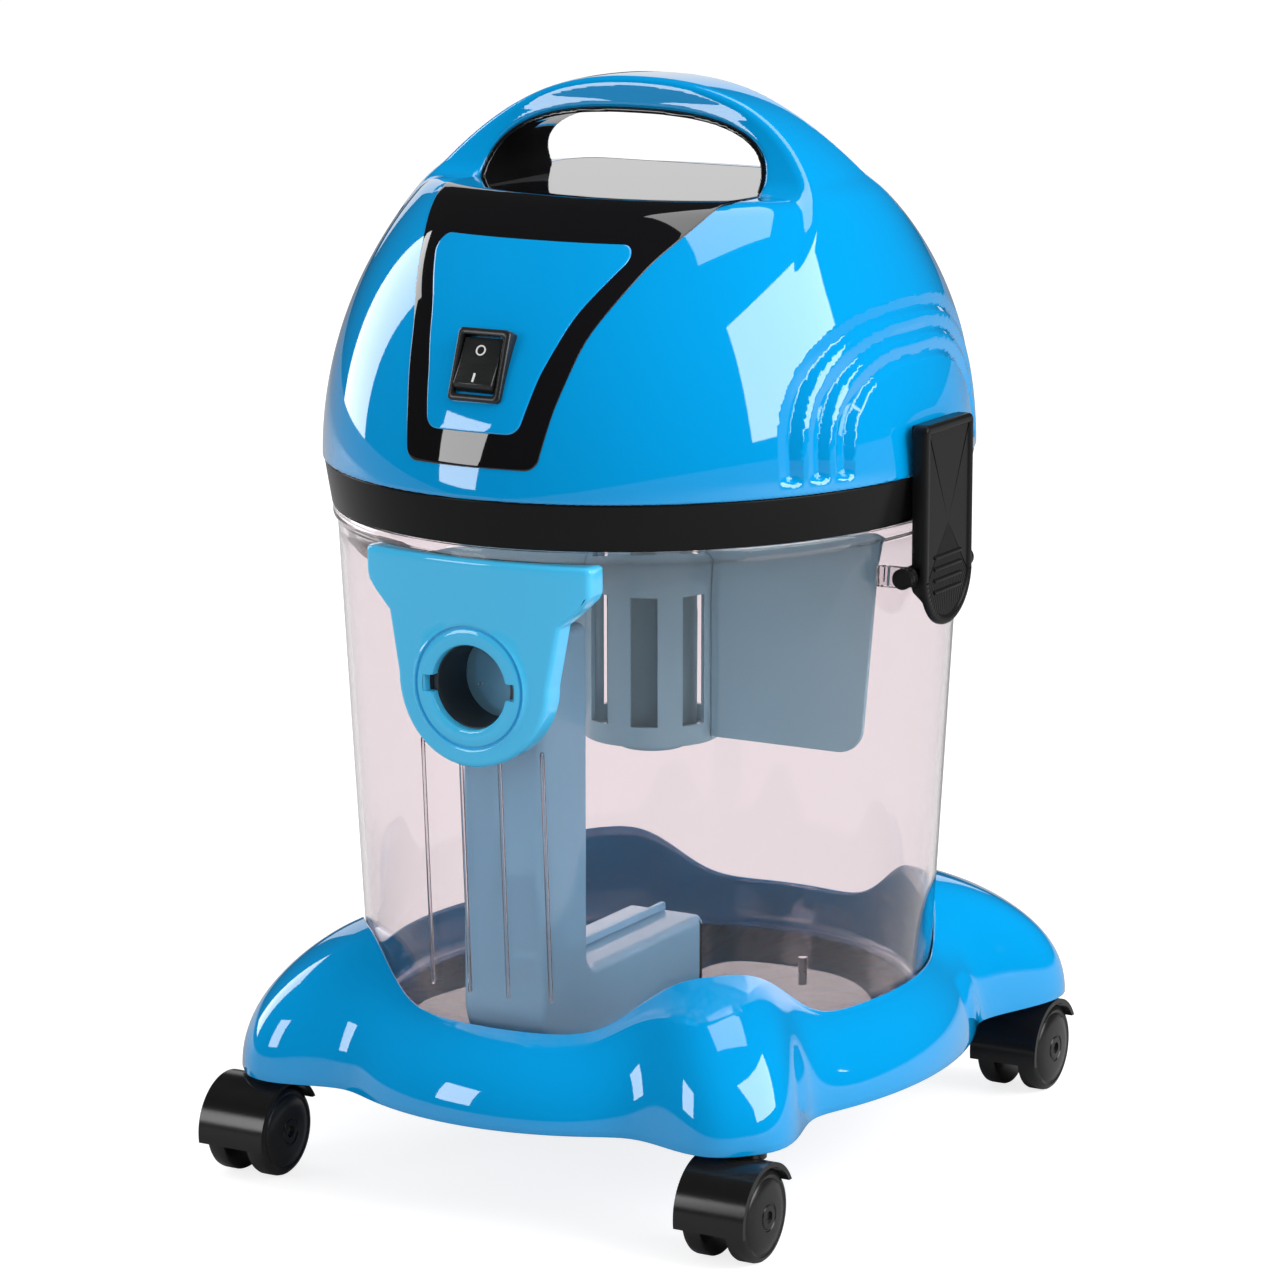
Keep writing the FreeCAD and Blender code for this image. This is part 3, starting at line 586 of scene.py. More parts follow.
@dataclass(frozen=True)
class Finish:
    """One moulded, metal or clear finish and the record slot that it belongs to."""

    slot: str
    colour: Colour
    shade: Colour
    roughness: Pair = (0.2, 0.26)
    metallic: float = 0.0
    coat: float = 0.0
    grain_scale: float = 900.0
    grain_depth: float = 0.02
    dust: float = 0.06
    transmission: float = 0.0
    ior: float = 1.5
    alpha: float = 1.0
    scuffs: float = 0.0
    subsurface: float = 0.0

    def material(self) -> bpy.types.Material:
        """Builds the material, or returns it if it is already there.

        Returns:
            The node-based material.
        """
        name = "fine_" + self.slot
        found = bpy.data.materials.get(name)
        if found:
            return found
        made = bpy.data.materials.new(name)
        made.use_nodes = True
        tree = made.node_tree
        shader = tree.nodes["Principled BSDF"]
        shader.inputs["Metallic"].default_value = self.metallic
        shader.inputs["IOR"].default_value = self.ior
        shader.inputs["Coat Weight"].default_value = self.coat
        shader.inputs["Coat Roughness"].default_value = 0.03
        shader.inputs["Transmission Weight"].default_value = self.transmission
        shader.inputs["Alpha"].default_value = self.alpha
        shader.inputs["Subsurface Weight"].default_value = self.subsurface
        shader.inputs["Subsurface Scale"].default_value = 0.002
        grain = tree.nodes.new("ShaderNodeGroup")
        grain.node_tree = Effects.get(Effect.GRAIN)
        grain.inputs["Scale"].default_value = self.grain_scale
        dust = tree.nodes.new("ShaderNodeGroup")
        dust.node_tree = Effects.get(Effect.DUST)
        dust.inputs["Amount"].default_value = self.dust
        self.mix_colour(tree, shader, grain, dust)
        self.mix_gloss(tree, shader, grain, dust)
        bump = tree.nodes.new("ShaderNodeBump")
        bump.inputs["Strength"].default_value = self.grain_depth
        bump.inputs["Distance"].default_value = 0.0004
        tree.links.new(grain.outputs["Height"], bump.inputs["Height"])
        tree.links.new(bump.outputs["Normal"], shader.inputs["Normal"])
        return made

    def mix_colour(self, tree: bpy.types.NodeTree, shader: bpy.types.Node, grain: bpy.types.Node,
                   dust: bpy.types.Node) -> None:
        """Wires the base colour: two close shades, and pale dust on top."""
        tone = tree.nodes.new("ShaderNodeMix")
        tone.data_type = "RGBA"
        tone.inputs["A"].default_value = self.colour
        tone.inputs["B"].default_value = self.shade
        tree.links.new(grain.outputs["Broad"], tone.inputs["Factor"])
        cover = tree.nodes.new("ShaderNodeMix")
        cover.data_type = "RGBA"
        cover.inputs["B"].default_value = (0.55, 0.55, 0.53, 1.0)
        tree.links.new(dust.outputs["Mask"], cover.inputs["Factor"])
        tree.links.new(tone.outputs["Result"], cover.inputs["A"])
        tree.links.new(cover.outputs["Result"], shader.inputs["Base Color"])

    def mix_gloss(self, tree: bpy.types.NodeTree, shader: bpy.types.Node, grain: bpy.types.Node,
                  dust: bpy.types.Node) -> None:
        """Wires the roughness: it drifts over the piece, and dust and scuffs dull it."""
        low, high = self.roughness
        drift = Effects.math(tree, "MULTIPLY_ADD", grain.outputs["Broad"], high - low)
        drift.node.inputs[2].default_value = low
        value = Effects.math(tree, "ADD", drift, dust.outputs["Mask"])
        if self.scuffs > 0.0:
            scuff = tree.nodes.new("ShaderNodeGroup")
            scuff.node_tree = Effects.get(Effect.SCUFF)
            scratches = Effects.math(tree, "MULTIPLY", scuff.outputs["Mask"], self.scuffs)
            value = Effects.math(tree, "ADD", value, scratches)
        tree.links.new(value, shader.inputs["Roughness"])


def plain(slot: str, rgb: Tuple[float, float, float], darker: float = 0.93, **more: object) -> Finish:
    """A finish whose second shade is a little darker than the first.

    Args:
        slot: the record's slot, which also names the material.
        rgb: linear colour.
        darker: how much darker the second shade is.
        more: any other field of Finish.

    Returns:
        The finish.
    """
    return Finish(slot, (*rgb, 1.0), (*(c * darker for c in rgb), 1.0), **more)


FINISHES: Dict[str, Finish] = {f.slot: f for f in (
    plain("blue_gloss", (0.0, 0.345, 0.78), 0.98, roughness=(0.02, 0.035), coat=1.0, dust=0.003, scuffs=0.01,
          grain_depth=0.004),
    plain("cover_blue", (0.07, 0.58, 0.97), 0.98, roughness=(0.04, 0.06), coat=0.3, dust=0.005,
          grain_depth=0.005),
    plain("clear_tank", (0.80, 0.745, 0.762), 0.995, roughness=(0.005, 0.015), transmission=1.0, ior=1.35,
          grain_depth=0.004, grain_scale=60.0, dust=0.01),
    plain("trim_black", (0.006, 0.006, 0.007), roughness=(0.01, 0.02), coat=0.8, dust=0.002, grain_depth=0.0),
    plain("satin_black", (0.011, 0.011, 0.011), ior=1.22, roughness=(0.22, 0.28), grain_depth=0.06,
          dust=0.01),
    plain("switch_black", (0.014, 0.015, 0.016), roughness=(0.24, 0.3), grain_depth=0.1),
    plain("mark_white", (0.82, 0.82, 0.82), roughness=(0.4, 0.5)),
    plain("seal_rubber", (0.02, 0.02, 0.02), roughness=(0.6, 0.75), grain_depth=0.3),
    # sleeve_grey: the sleeve's own dark grey, darkened further to near black as painted shade inside the deep hose
    # bore
    plain("sleeve_grey", (0.03, 0.035, 0.04), roughness=(0.35, 0.45), grain_depth=0.15),
    plain("duct_blue", (0.3, 0.62, 0.85), roughness=(0.06, 0.1), transmission=0.35, ior=1.3, grain_depth=0.0),
    plain("separator_teal", (0.4, 0.66, 0.78), roughness=(0.08, 0.14), transmission=0.3, ior=1.25,
          grain_depth=0.0),
    plain("filter_foam", (0.2, 0.36, 0.43), 0.6, roughness=(0.8, 0.95), grain_depth=1.0, grain_scale=260.0),
    plain("float_white", (0.7, 0.7, 0.68), roughness=(0.35, 0.5)),
    plain("steel", (0.56, 0.56, 0.58), roughness=(0.25, 0.4), metallic=1.0),
    plain("motor_cover_grey", (0.2, 0.21, 0.23), roughness=(0.4, 0.5), grain_depth=0.2),
    plain("motor_steel", (0.45, 0.45, 0.47), roughness=(0.3, 0.45), metallic=1.0),
    plain("fan_aluminium", (0.7, 0.7, 0.72), roughness=(0.25, 0.35), metallic=1.0),
    plain("winding_copper", (0.65, 0.28, 0.12), roughness=(0.3, 0.45), metallic=1.0),
    plain("castor_black", (0.008, 0.008, 0.008), roughness=(0.16, 0.22), grain_depth=0.04, dust=0.02),
    plain("castor_wheel", (0.009, 0.009, 0.009), roughness=(0.22, 0.3), grain_depth=0.05, dust=0.02),
)}


def finish_off(piece: bpy.types.Object, slot: str, body: str, *nodes: str) -> bpy.types.Object:
    """Paints a piece, rides it on its body and hides the CAD nodes that it stands for.

    Args:
        piece: the finished piece.
        slot: its finish.
        body: the CAD body that it moves with.
        nodes: the CAD nodes that it replaces.

    Returns:
        The piece.
    """
    piece.data.materials.clear()
    piece.data.materials.append(FINISHES[slot].material())
    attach(piece, body)
    if nodes:
        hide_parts(*nodes)
    LOG.info("%s: %d faces, rides on %s", piece.name, len(piece.data.polygons), body)
    return piece


# ------------------------------------------------------------------ shapes that several pieces share
def tank_half(z: np.ndarray) -> np.ndarray:
    """Outer half width of the tank at a height."""
    return 130.93 + (z - 250.0) * 0.05216


def oval_front(x: np.ndarray, half: np.ndarray) -> np.ndarray:
    """Forward reach of the body's oval at a distance across, for a given half width."""
    return -OVAL * np.sqrt(np.maximum(half ** 2 - x ** 2, 0.0))


def round_box(half_u: float, half_v: float, radius: float, steps: int = 8) -> np.ndarray:
    """Rounded rectangle with a fixed number of points, counter-clockwise."""
    out: List[Pair] = []
    for i, (su, sv) in enumerate(((1, 1), (-1, 1), (-1, -1), (1, -1))):
        centre = (su * (half_u - radius), sv * (half_v - radius))
        out += arc_points(centre, radius, 0.5 * math.pi * i, 0.5 * math.pi * (i + 1), steps)
    return np.array(out)


def layered(rings: Sequence[Tuple[np.ndarray, float]], place: Place) -> List[np.ndarray]:
    """Places flat outlines at their heights.

    Args:
        rings: (outline, height) pairs.
        place: turns an outline and a height into (n, 3) points.

    Returns:
        The placed rings.
    """
    return [place(flat, height) for flat, height in rings]


def towards(loop: np.ndarray, middle: Pair, count: int) -> List[np.ndarray]:
    """Copies of an outline that shrink evenly towards a point."""
    centre = np.array(middle, float)
    rings = [centre + (loop - centre) * (1.0 - k / count) for k in range(1, count)]
    return rings + [centre + (loop - centre) * 0.01]


def patch(name: str, loop: np.ndarray, middle: Pair, place: Place,
          proud: float, deep: float, edge: float, count: int = 22) -> bpy.types.Object:
    """A thin panel that follows a curved surface, with a rolled edge.

    Args:
        name: the object's name.
        loop: flat outline.
        middle: the point that its rings shrink to.
        place: lays an outline on the surface at a height.
        proud: height of the front above the surface.
        deep: depth of the back below it.
        edge: radius of the rolled edge.
        count: rings between the edge and the middle.

    Returns:
        The panel.
    """
    back = [(flat, -deep) for flat in towards(loop, middle, count)][::-1]
    rim = [(loop, -deep)]
    for k in range(5):
        turn = 0.125 * math.pi * k
        rim.append((inset(loop, edge * (1 - math.cos(turn))), proud - edge * (1 - math.sin(turn))))
    front = [(flat, proud) for flat in towards(inset(loop, edge), middle, count)]
    return Mesher.skin(name, layered(back + rim + front, place))


# ------------------------------------------------------------------ head
@dataclass
class Head:
    """Domed motor head: shell with a carry handle and louvres, gloss trim, switch panel and grip lining."""

    foot_z: float = 313.2
    deck_z: float = 430.0
    crown_z: float = 476.0
    half_width: float = 139.0
    half_length: float = 158.3
    arch_foot: float = 305.0
    arch_power: float = 2.4
    arch_rise_power: float = 1.8
    length_foot: float = 300.0
    length_rise: float = 150.0
    wall: float = 6.5
    mesh_step: float = 1.4
    handle_foot: float = 380.0
    fade_low: float = 384.0
    fade_high: float = 428.0
    fade_depth: float = 7.0
    hole_half: float = 69.5
    hole_height: float = 32.0
    hole_power: float = 2.6
    louvre_half: float = 82.0
    louvre_height: float = 59.0
    louvre_foot: float = 320.0
    louvre_pitch: float = 12.8
    louvre_depth: float = 3.0
    louvre_width: float = 10.4
    louvre_slope: float = 7.6
    louvre_riser: float = 3.4
    louvre_power: float = 2.6
    pocket_half: float = 24.5
    pocket_top: float = 338.0
    pocket_x: float = 138.7
    ledge_z: float = 317.5
    ledge_height: float = 12.0
    ledge_depth: float = 2.1

    def half_x(self, z: np.ndarray) -> np.ndarray:
        """Half width of the dome at a height."""
        up = np.clip((z - self.arch_foot) / (self.crown_z - self.arch_foot), 0.0, 0.995)
        return self.half_width * (1.0 - up ** self.arch_rise_power) ** (1.0 / self.arch_power)

    def half_y(self, z: np.ndarray) -> np.ndarray:
        """Half length of the dome at a height."""
        up = np.clip((z - self.length_foot) / self.length_rise, 0.0, 0.99)
        return self.half_length * np.sqrt(1.0 - up ** 2)

    @staticmethod
    def squareness(z: np.ndarray) -> np.ndarray:
        """Power of the dome's oval: 2 at the foot and squarer above."""
        return 2.0 + 0.35 * np.clip((z - 313.0) / 117.0, 0.0, 1.3)

    def louvres(self, x: np.ndarray, y: np.ndarray, z: np.ndarray) -> np.ndarray:
        """How deep the three nested arches on each side cut in."""
        lift = np.clip(z - self.louvre_foot, 0.0, None) / self.louvre_height
        power = self.louvre_power
        size = ((np.abs(y) / self.louvre_half) ** power + lift ** power) ** (1.0 / power) + 1e-6
        past = (1.0 - size) * self.louvre_half
        cut = np.zeros_like(past)
        for n in range(3):
            here = past - n * self.louvre_pitch
            slope = np.clip((here + self.louvre_width) / self.louvre_slope, 0.0, 1.0)
            riser = np.clip(-here / self.louvre_riser, 0.0, 1.0)
            cut += np.minimum(slope, riser)
        depth = self.louvre_depth * (1.0 - 0.4 * smooth_step(0.5, 1.0, lift / size))
        return cut * depth * smooth_step(317.5, 321.0, z) * smooth_step(55.0, 80.0, np.abs(x))

    def dome(self, x: np.ndarray, y: np.ndarray, z: np.ndarray) -> np.ndarray:
        """Distance outside the plain dome and its flat top."""
        ax = np.abs(x) + 1e-3
        ay = np.abs(y) + 1e-3
        power = self.squareness(z)
        size = ((ax / self.half_x(z)) ** power + (ay / self.half_y(z)) ** power) ** (1.0 / power)
        reach = np.hypot(ax, ay)
        return soft_max(reach - reach / size, z - self.deck_z, 5.0)

    def handle(self, x: np.ndarray, y: np.ndarray, z: np.ndarray) -> np.ndarray:
        """Distance outside the arched handle."""
        height = self.crown_z - self.arch_foot
        power, rise_power = self.arch_power, self.arch_rise_power
        up = np.clip((z - self.arch_foot) / height, 1e-3, None)
        across = np.sqrt(x ** 2 + (y / (1.02 * OVAL)) ** 2) + 1e-3
        value = (across / self.half_width) ** power + up ** rise_power - 1.0
        slope_r = power * across ** (power - 1.0) / self.half_width ** power
        slope_z = rise_power * up ** (rise_power - 1.0) / height
        arch = value / np.hypot(slope_r, slope_z)
        arch = arch + self.fade_depth * (1.0 - smooth_step(self.fade_low, self.fade_high, z))
        return np.maximum(soft_max(arch, np.abs(y) - self.handle_half(z), 4.0), self.handle_foot - z)

    @staticmethod
    def handle_half(z: np.ndarray) -> np.ndarray:
        """Half of the handle's front-to-back width at a height."""
        return 15.0 + 43.0 * np.clip((466.0 - z) / 66.0, 0.0, 1.0) ** 1.6

    def grip_hole(self, x: np.ndarray, z: np.ndarray, shrink: float = 0.0) -> np.ndarray:
        """Distance outside the grip opening, seen from the front."""
        half, high, power = self.hole_half - shrink, self.hole_height - shrink, self.hole_power
        u = np.abs(x) / half
        v = np.clip(z - self.deck_z, 0.0, None) / high
        slope = power * np.hypot(u ** (power - 1.0) / half, v ** (power - 1.0) / high)
        return np.maximum((u ** power + v ** power - 1.0) / (slope + 1e-3), self.deck_z - 0.4 - z)

    def latch_pocket(self, x: np.ndarray, y: np.ndarray, z: np.ndarray) -> np.ndarray:
        """Distance outside the shallow pocket that each latch closes into."""
        ledge = self.pocket_x - self.ledge_depth * np.clip((z - self.ledge_z) / self.ledge_height, 0.0, 1.0)
        return np.maximum(np.maximum(np.abs(y) - self.pocket_half, z - self.pocket_top), ledge - np.abs(x))

    def shell_depth(self, x: np.ndarray, y: np.ndarray, z: np.ndarray) -> np.ndarray:
        """Field of the finished shell."""
        plain_dome = self.dome(x, y, z)
        outside = soft_min(plain_dome + self.louvres(x, y, z), self.handle(x, y, z), 7.0)
        outside = soft_max(outside, -self.grip_hole(x, z), 3.0)
        outside = soft_max(outside, -self.latch_pocket(x, y, z), 1.6)
        outside = soft_max(outside, self.foot_z - z, 1.0)
        return soft_max(outside, -(plain_dome + self.wall), 1.0)

    def lining_depth(self, x: np.ndarray, y: np.ndarray, z: np.ndarray) -> np.ndarray:
        """Field of the black lining inside the grip opening."""
        band = np.maximum(self.grip_hole(x, z, -0.3), -self.grip_hole(x, z, 2.0))
        band = soft_max(band, np.abs(y) - self.handle_half(z) + 0.9, 1.0)
        return np.maximum(band, self.deck_z + 0.2 - z)

    def on_dome(self, flat: np.ndarray, height: float) -> np.ndarray:
        """Lays flat points on the dome's front and top.

        Args:
            flat: (n, 2) points: across, and height up to the crease or hundredths of the way back beyond it.
            height: distance above the surface.

        Returns:
            (n, 3) points.
        """
        across, up = flat[:, 0], flat[:, 1]
        z = np.minimum(up, self.deck_z)
        power = self.squareness(z)
        inside = np.clip(1.0 - (np.abs(across) / self.half_x(z)) ** power, 0.0, 1.0)
        front = -self.half_y(z) * inside ** (1.0 / power)
        back = np.clip((up - self.deck_z) / 100.0, 0.0, 1.0)
        points = np.stack([across, front + back * (62.0 - front), z], axis=1)
        field = Implicit(self.dome)
        for _ in range(8):
            slope = field.slope(points)
            off = self.dome(*points.T) - height
            points = points - off[:, None] * slope / (np.sum(slope ** 2, axis=1)[:, None] + 1e-9)
        return points

    def make_shell(self) -> None:
        """The blue shell with its handle."""
        low, high = (-141.0, -160.5, 311.5), (141.0, 160.5, 478.0)
        shell = Implicit(self.shell_depth).mesh("dome_shell", low, high, self.mesh_step)
        finish_off(shell, "blue_gloss", "head", "head_shell")

    def make_trim(self) -> None:
        """The gloss black front trim that runs over the crease and along the flat top."""
        right = [(31.0, 326.5, 6.0), (35.0, 350.0, 60.0), (42.0, 380.0, 60.0), (56.5, 409.0, 60.0),
                 (69.5, 428.0, 50.0), (72.0, 445.0, 30.0), (71.0, 529.0, 14.0)]
        loop = rounded(right + [(-u, v, r) for u, v, r in reversed(right)], 2.2)
        trim = patch("front_trim", loop, (0.0, 425.0), self.on_dome, 0.55, 0.9, 0.5, 40)
        finish_off(trim, "trim_black", "head", "trim_frame")

    def make_panel(self) -> None:
        """The blue panel that carries the switch."""
        right = [(21.5, 340.5, 6.0), (26.5, 364.0, 60.0), (34.5, 388.0, 60.0), (50.5, 414.5, 5.0)]
        loop = rounded(right + [(-u, v, r) for u, v, r in reversed(right)], 1.6)
        panel = patch("switch_face_panel", loop, (0.0, 385.0), self.on_dome, 1.3, 0.3, 0.6, 30)
        finish_off(panel, "blue_gloss", "head", "switch_panel")

    def make_lining(self) -> None:
        """The black lining of the grip opening."""
        low, high = (-74.0, -36.0, 429.0), (74.0, 36.0, 465.0)
        lining = Implicit(self.lining_depth).mesh("grip_lining", low, high, 1.1)
        finish_off(lining, "trim_black", "head", "handle_liner")

    def make(self) -> None:
        """Builds every piece of the head's casing."""
        self.make_shell()
        self.make_trim()
        self.make_panel()
        self.make_lining()


# ------------------------------------------------------------------ switch
@dataclass
class Switch:
    """Rocker switch in its bezel on the front of the head."""

    face: Tuple[float, float, float] = (0.0, -143.6, 367.0)
    tilt: float = 20.0
    half_u: float = 12.5
    half_v: float = 15.5

    def place(self, points: np.ndarray) -> np.ndarray:
        """Moves points from the switch's own frame, face up, to the dome's front."""
        turn = math.radians(90.0 - self.tilt)
        c, s = math.cos(turn), math.sin(turn)
        x, y, z = points[:, 0], points[:, 1], points[:, 2]
        return np.stack([x, c * y - s * z, s * y + c * z], axis=1) + np.array(self.face)

    def level(self, flat: np.ndarray, height: float) -> np.ndarray:
        """A flat outline at a height above the face, placed on the dome."""
        return self.place(np.column_stack([flat, np.full(len(flat), height)]))

    def make_bezel(self) -> None:
        """Bezel with a rolled edge and the well that the rocker sits in."""
        rim = round_box(self.half_u, self.half_v, 2.0)
        rings = [(rim, -5.0), (rim, 1.6)]
        for k in range(1, 5):
            turn = 0.125 * math.pi * k
            shrink = 1.2 * (1.0 - math.cos(turn))
            rolled = round_box(self.half_u - shrink, self.half_v - shrink, 2.0)
            rings.append((rolled, 1.6 + 1.2 * math.sin(turn)))
        rings += [(round_box(10.3, 13.2, 1.4), 2.8), (round_box(9.8, 12.7, 1.2), 2.5),
                  (round_box(9.7, 12.6, 1.2), -9.0), (round_box(10.8, 13.8, 1.2), -9.0),
                  (round_box(10.8, 13.8, 1.2), -5.0)]
        bezel = Mesher.skin("switch_bezel", layered(rings, self.level), close=True)
        finish_off(bezel, "switch_black", "head", "switch_housing")

    def make_rocker(self) -> None:
        """Rocker with two hollowed faces, its upper half pressed in."""
        top = [(11.2, 1.6), (9.0, 1.75), (6.0, 2.3), (3.0, 2.75), (0.0, 3.0), (-3.0, 3.62), (-6.0, 4.4),
               (-9.0, 5.1)]
        back = [(-10.3, 3.5), (-11.4, 1.3), (-12.0, -1.0), (-12.15, -3.6), (-9.0, -6.8), (0.0, -9.0),
                (9.0, -6.8), (12.1, -4.0), (12.0, -1.0)]
        side = np.array(bend_round(top + back, 0.5, 2))
        rings = []
        for x, shrink in ((-9.2, 0.5), (-9.0, 0.15), (-8.6, 0.0), (8.6, 0.0), (9.0, 0.15), (9.2, 0.5)):
            flat = inset(side[::-1], -shrink) if self.clockwise(side) else inset(side, shrink)
            rings.append(self.place(np.column_stack([np.full(len(flat), x), flat])))
        rocker = Mesher.skin("switch_rocker_cap", rings)
        finish_off(rocker, "switch_black", "switch", "switch_rocker")

    @staticmethod
    def clockwise(loop: np.ndarray) -> bool:
        """True if a closed outline runs clockwise."""
        after = np.roll(loop, -1, axis=0)
        return float(np.sum(loop[:, 0] * after[:, 1] - after[:, 0] * loop[:, 1])) < 0.0

    def make(self) -> None:
        """Builds the switch."""
        self.make_bezel()
        self.make_rocker()


# ------------------------------------------------------------------ tank, band and what shows inside
@dataclass
class Tank:
    """Clear oval tank with its flange, rim, front ribs and latch lugs."""

    seat_z: float = 59.0
    flange_z: float = 288.0
    flange_top: float = 292.4
    rim_z: float = 300.3
    wall: float = 2.6
    ribs: Tuple[float, ...] = (-31.0, -10.0, 9.0, 28.0)

    def profile(self) -> List[Pair]:
        """Section of the tank from the middle of its underside round to the middle of its floor."""
        foot = float(tank_half(self.seat_z))
        neck = float(tank_half(self.flange_z))
        low_in = float(tank_half(self.seat_z + self.wall)) - self.wall
        out: List[Pair] = [(0.5, self.seat_z), (foot - 30.0, self.seat_z)]
        out += arc_points((foot - 7.0, self.seat_z + 7.0), 7.0, -0.5 * math.pi, 0.03, 8)
        for k in range(1, 24):
            z = self.seat_z + 9.0 + (self.flange_z - 2.0 - self.seat_z - 9.0) * k / 23
            out.append((float(tank_half(z)), z))
        out += [(neck + 0.6, 287.4), (neck + 1.5, 288.2), (neck + 1.8, 289.0), (neck + 1.8, 291.6),
                (neck + 1.4, self.flange_top), (neck + 0.2, 292.5), (neck, 293.0), (neck, self.rim_z - 0.8),
                (neck - 0.6, self.rim_z), (neck - self.wall + 0.6, self.rim_z),
                (neck - self.wall, self.rim_z - 0.8), (neck - self.wall, self.flange_z)]
        for k in range(24):
            z = self.flange_z - 2.0 - (self.flange_z - 2.0 - self.seat_z - 10.0) * k / 23
            out.append((float(tank_half(z)) - self.wall, z))
        out += arc_points((low_in - 5.5, self.seat_z + self.wall + 5.5), 5.5, 0.0, -0.5 * math.pi, 8)
        out += [(low_in - 30.0, self.seat_z + self.wall), (0.5, self.seat_z + self.wall)]
        return out

    def make_rib(self, x: float) -> bpy.types.Object:
        """One upright strip on the tank's front."""
        rings = []
        for z in np.concatenate([[96.0], np.linspace(96.8, 205.2, 14), [206.0]]):
            flat = round_box(0.8, 0.75, 0.35, 4)
            if z in (96.0, 206.0):
                flat = flat * 0.6
            front = float(oval_front(np.array(x), tank_half(z)))
            rings.append(np.column_stack([flat[:, 0] + x, flat[:, 1] + front - 0.35, np.full(len(flat), z)]))
        return Mesher.skin("rib", rings)

    def make_lug(self, side: int, low_y: float) -> bpy.types.Object:
        """One of the lugs that a latch pin runs through."""
        outline = rounded([(-14.0, -4.5, 0.6), (4.5, -4.5, 4.4), (4.5, 4.5, 4.4), (-14.0, 4.5, 0.6)], 1.5)

        def place(flat: np.ndarray, height: float) -> np.ndarray:
            """Stands the outline up across the latch pin."""
            across, up = LATCH_PIVOT_X + flat[:, 0], LATCH_PIVOT_Z + flat[:, 1]
            return np.column_stack([side * across, np.full(len(flat), low_y + height), up])

        return Mesher.slab("lug", outline, place, 4.7, 0.5, 0.5)

    def make(self) -> None:
        """Builds the tank."""
        rings = []
        for half, z in self.profile():
            flat = ellipse(half, half * OVAL, 180)
            rings.append(np.column_stack([flat, np.full(180, z)]))
        shell = Mesher.skin("clear_tank_body", rings)
        section = [(0.5, -160.0), (21.0, -160.0), (21.0, -130.0), (0.5, -130.0)]
        drill = Mesher.spun("drill", section, "y", (0, 0, INLET_Z), count=64)
        Mesher.cut(shell, drill)
        extras = [self.make_rib(x) for x in self.ribs]
        extras += [self.make_lug(side, low) for side in (-1, 1) for low in (-28.5, 23.8)]
        tank = Mesher.join("clear_tank_body", [shell] + extras)
        finish_off(tank, "clear_tank", "root", "tank")


@dataclass
class Band:
    """Satin band under the dome, with the plate that closes the tank."""

    count: int = 200

    def make(self) -> None:
        """Builds the band and its plate as one moulding."""
        profile = [(135.0, 293.1), (136.6, 303.0), (138.15, 313.1), (134.2, 313.1), (134.2, 307.0),
                   (24.0, 307.0), (24.0, 303.6), (133.4, 303.6), (133.4, 293.1)]
        band = Mesher.spun("head_band", bend_round(profile, 0.9), "z", stretch=OVAL, count=self.count)
        finish_off(band, "satin_black", "head", "motor_plate")


@dataclass
class Separator:
    """What hangs under the head inside the tank: splash plates and filter; the cage is not built here."""

    low_z: float = 185.0
    high_z: float = 303.4
    half_low: float = 104.0
    half_high: float = 114.0

    def make_plate(self, side: int) -> None:
        """One splash plate beside the filter."""
        corners = [(30.3, self.low_z, 0.5), (self.half_low, self.low_z, 12.0),
                   (self.half_high, self.high_z, 1.0), (30.3, self.high_z, 0.5)]

        def place(flat: np.ndarray, height: float) -> np.ndarray:
            """Stands the outline up beside the filter."""
            return np.column_stack([side * flat[:, 0], np.full(len(flat), height - 1.25), flat[:, 1]])

        name = "right" if side > 0 else "left"
        plate = Mesher.slab("splash_wing_" + name, rounded(corners, 4.0), place, 2.5, 0.6, 0.6)
        finish_off(plate, "separator_teal", "head", "splash_plate_" + name)

    def make_filter(self) -> None:
        """Foam sleeve with a gently uneven skin."""
        rng = np.random.default_rng(7)
        rings = []
        section = [(14.7, 185.2), (20.0, 185.2), (20.0, 240.0), (20.0, 303.2), (14.7, 303.2)]
        count = 72
        for r, z in bend_round(section, 1.2):
            flat = ellipse(r, r, count) * (1.0 + 0.004 * rng.standard_normal((count, 1)))
            rings.append(np.column_stack([flat, np.full(count, z)]))
        foam = Mesher.skin("foam_sleeve", rings, close=True)
        finish_off(foam, "filter_foam", "head", "foam_filter")

    def make(self) -> None:
        """Builds the separator's visible pieces."""
        self.make_plate(1)
        self.make_plate(-1)
        self.make_filter()


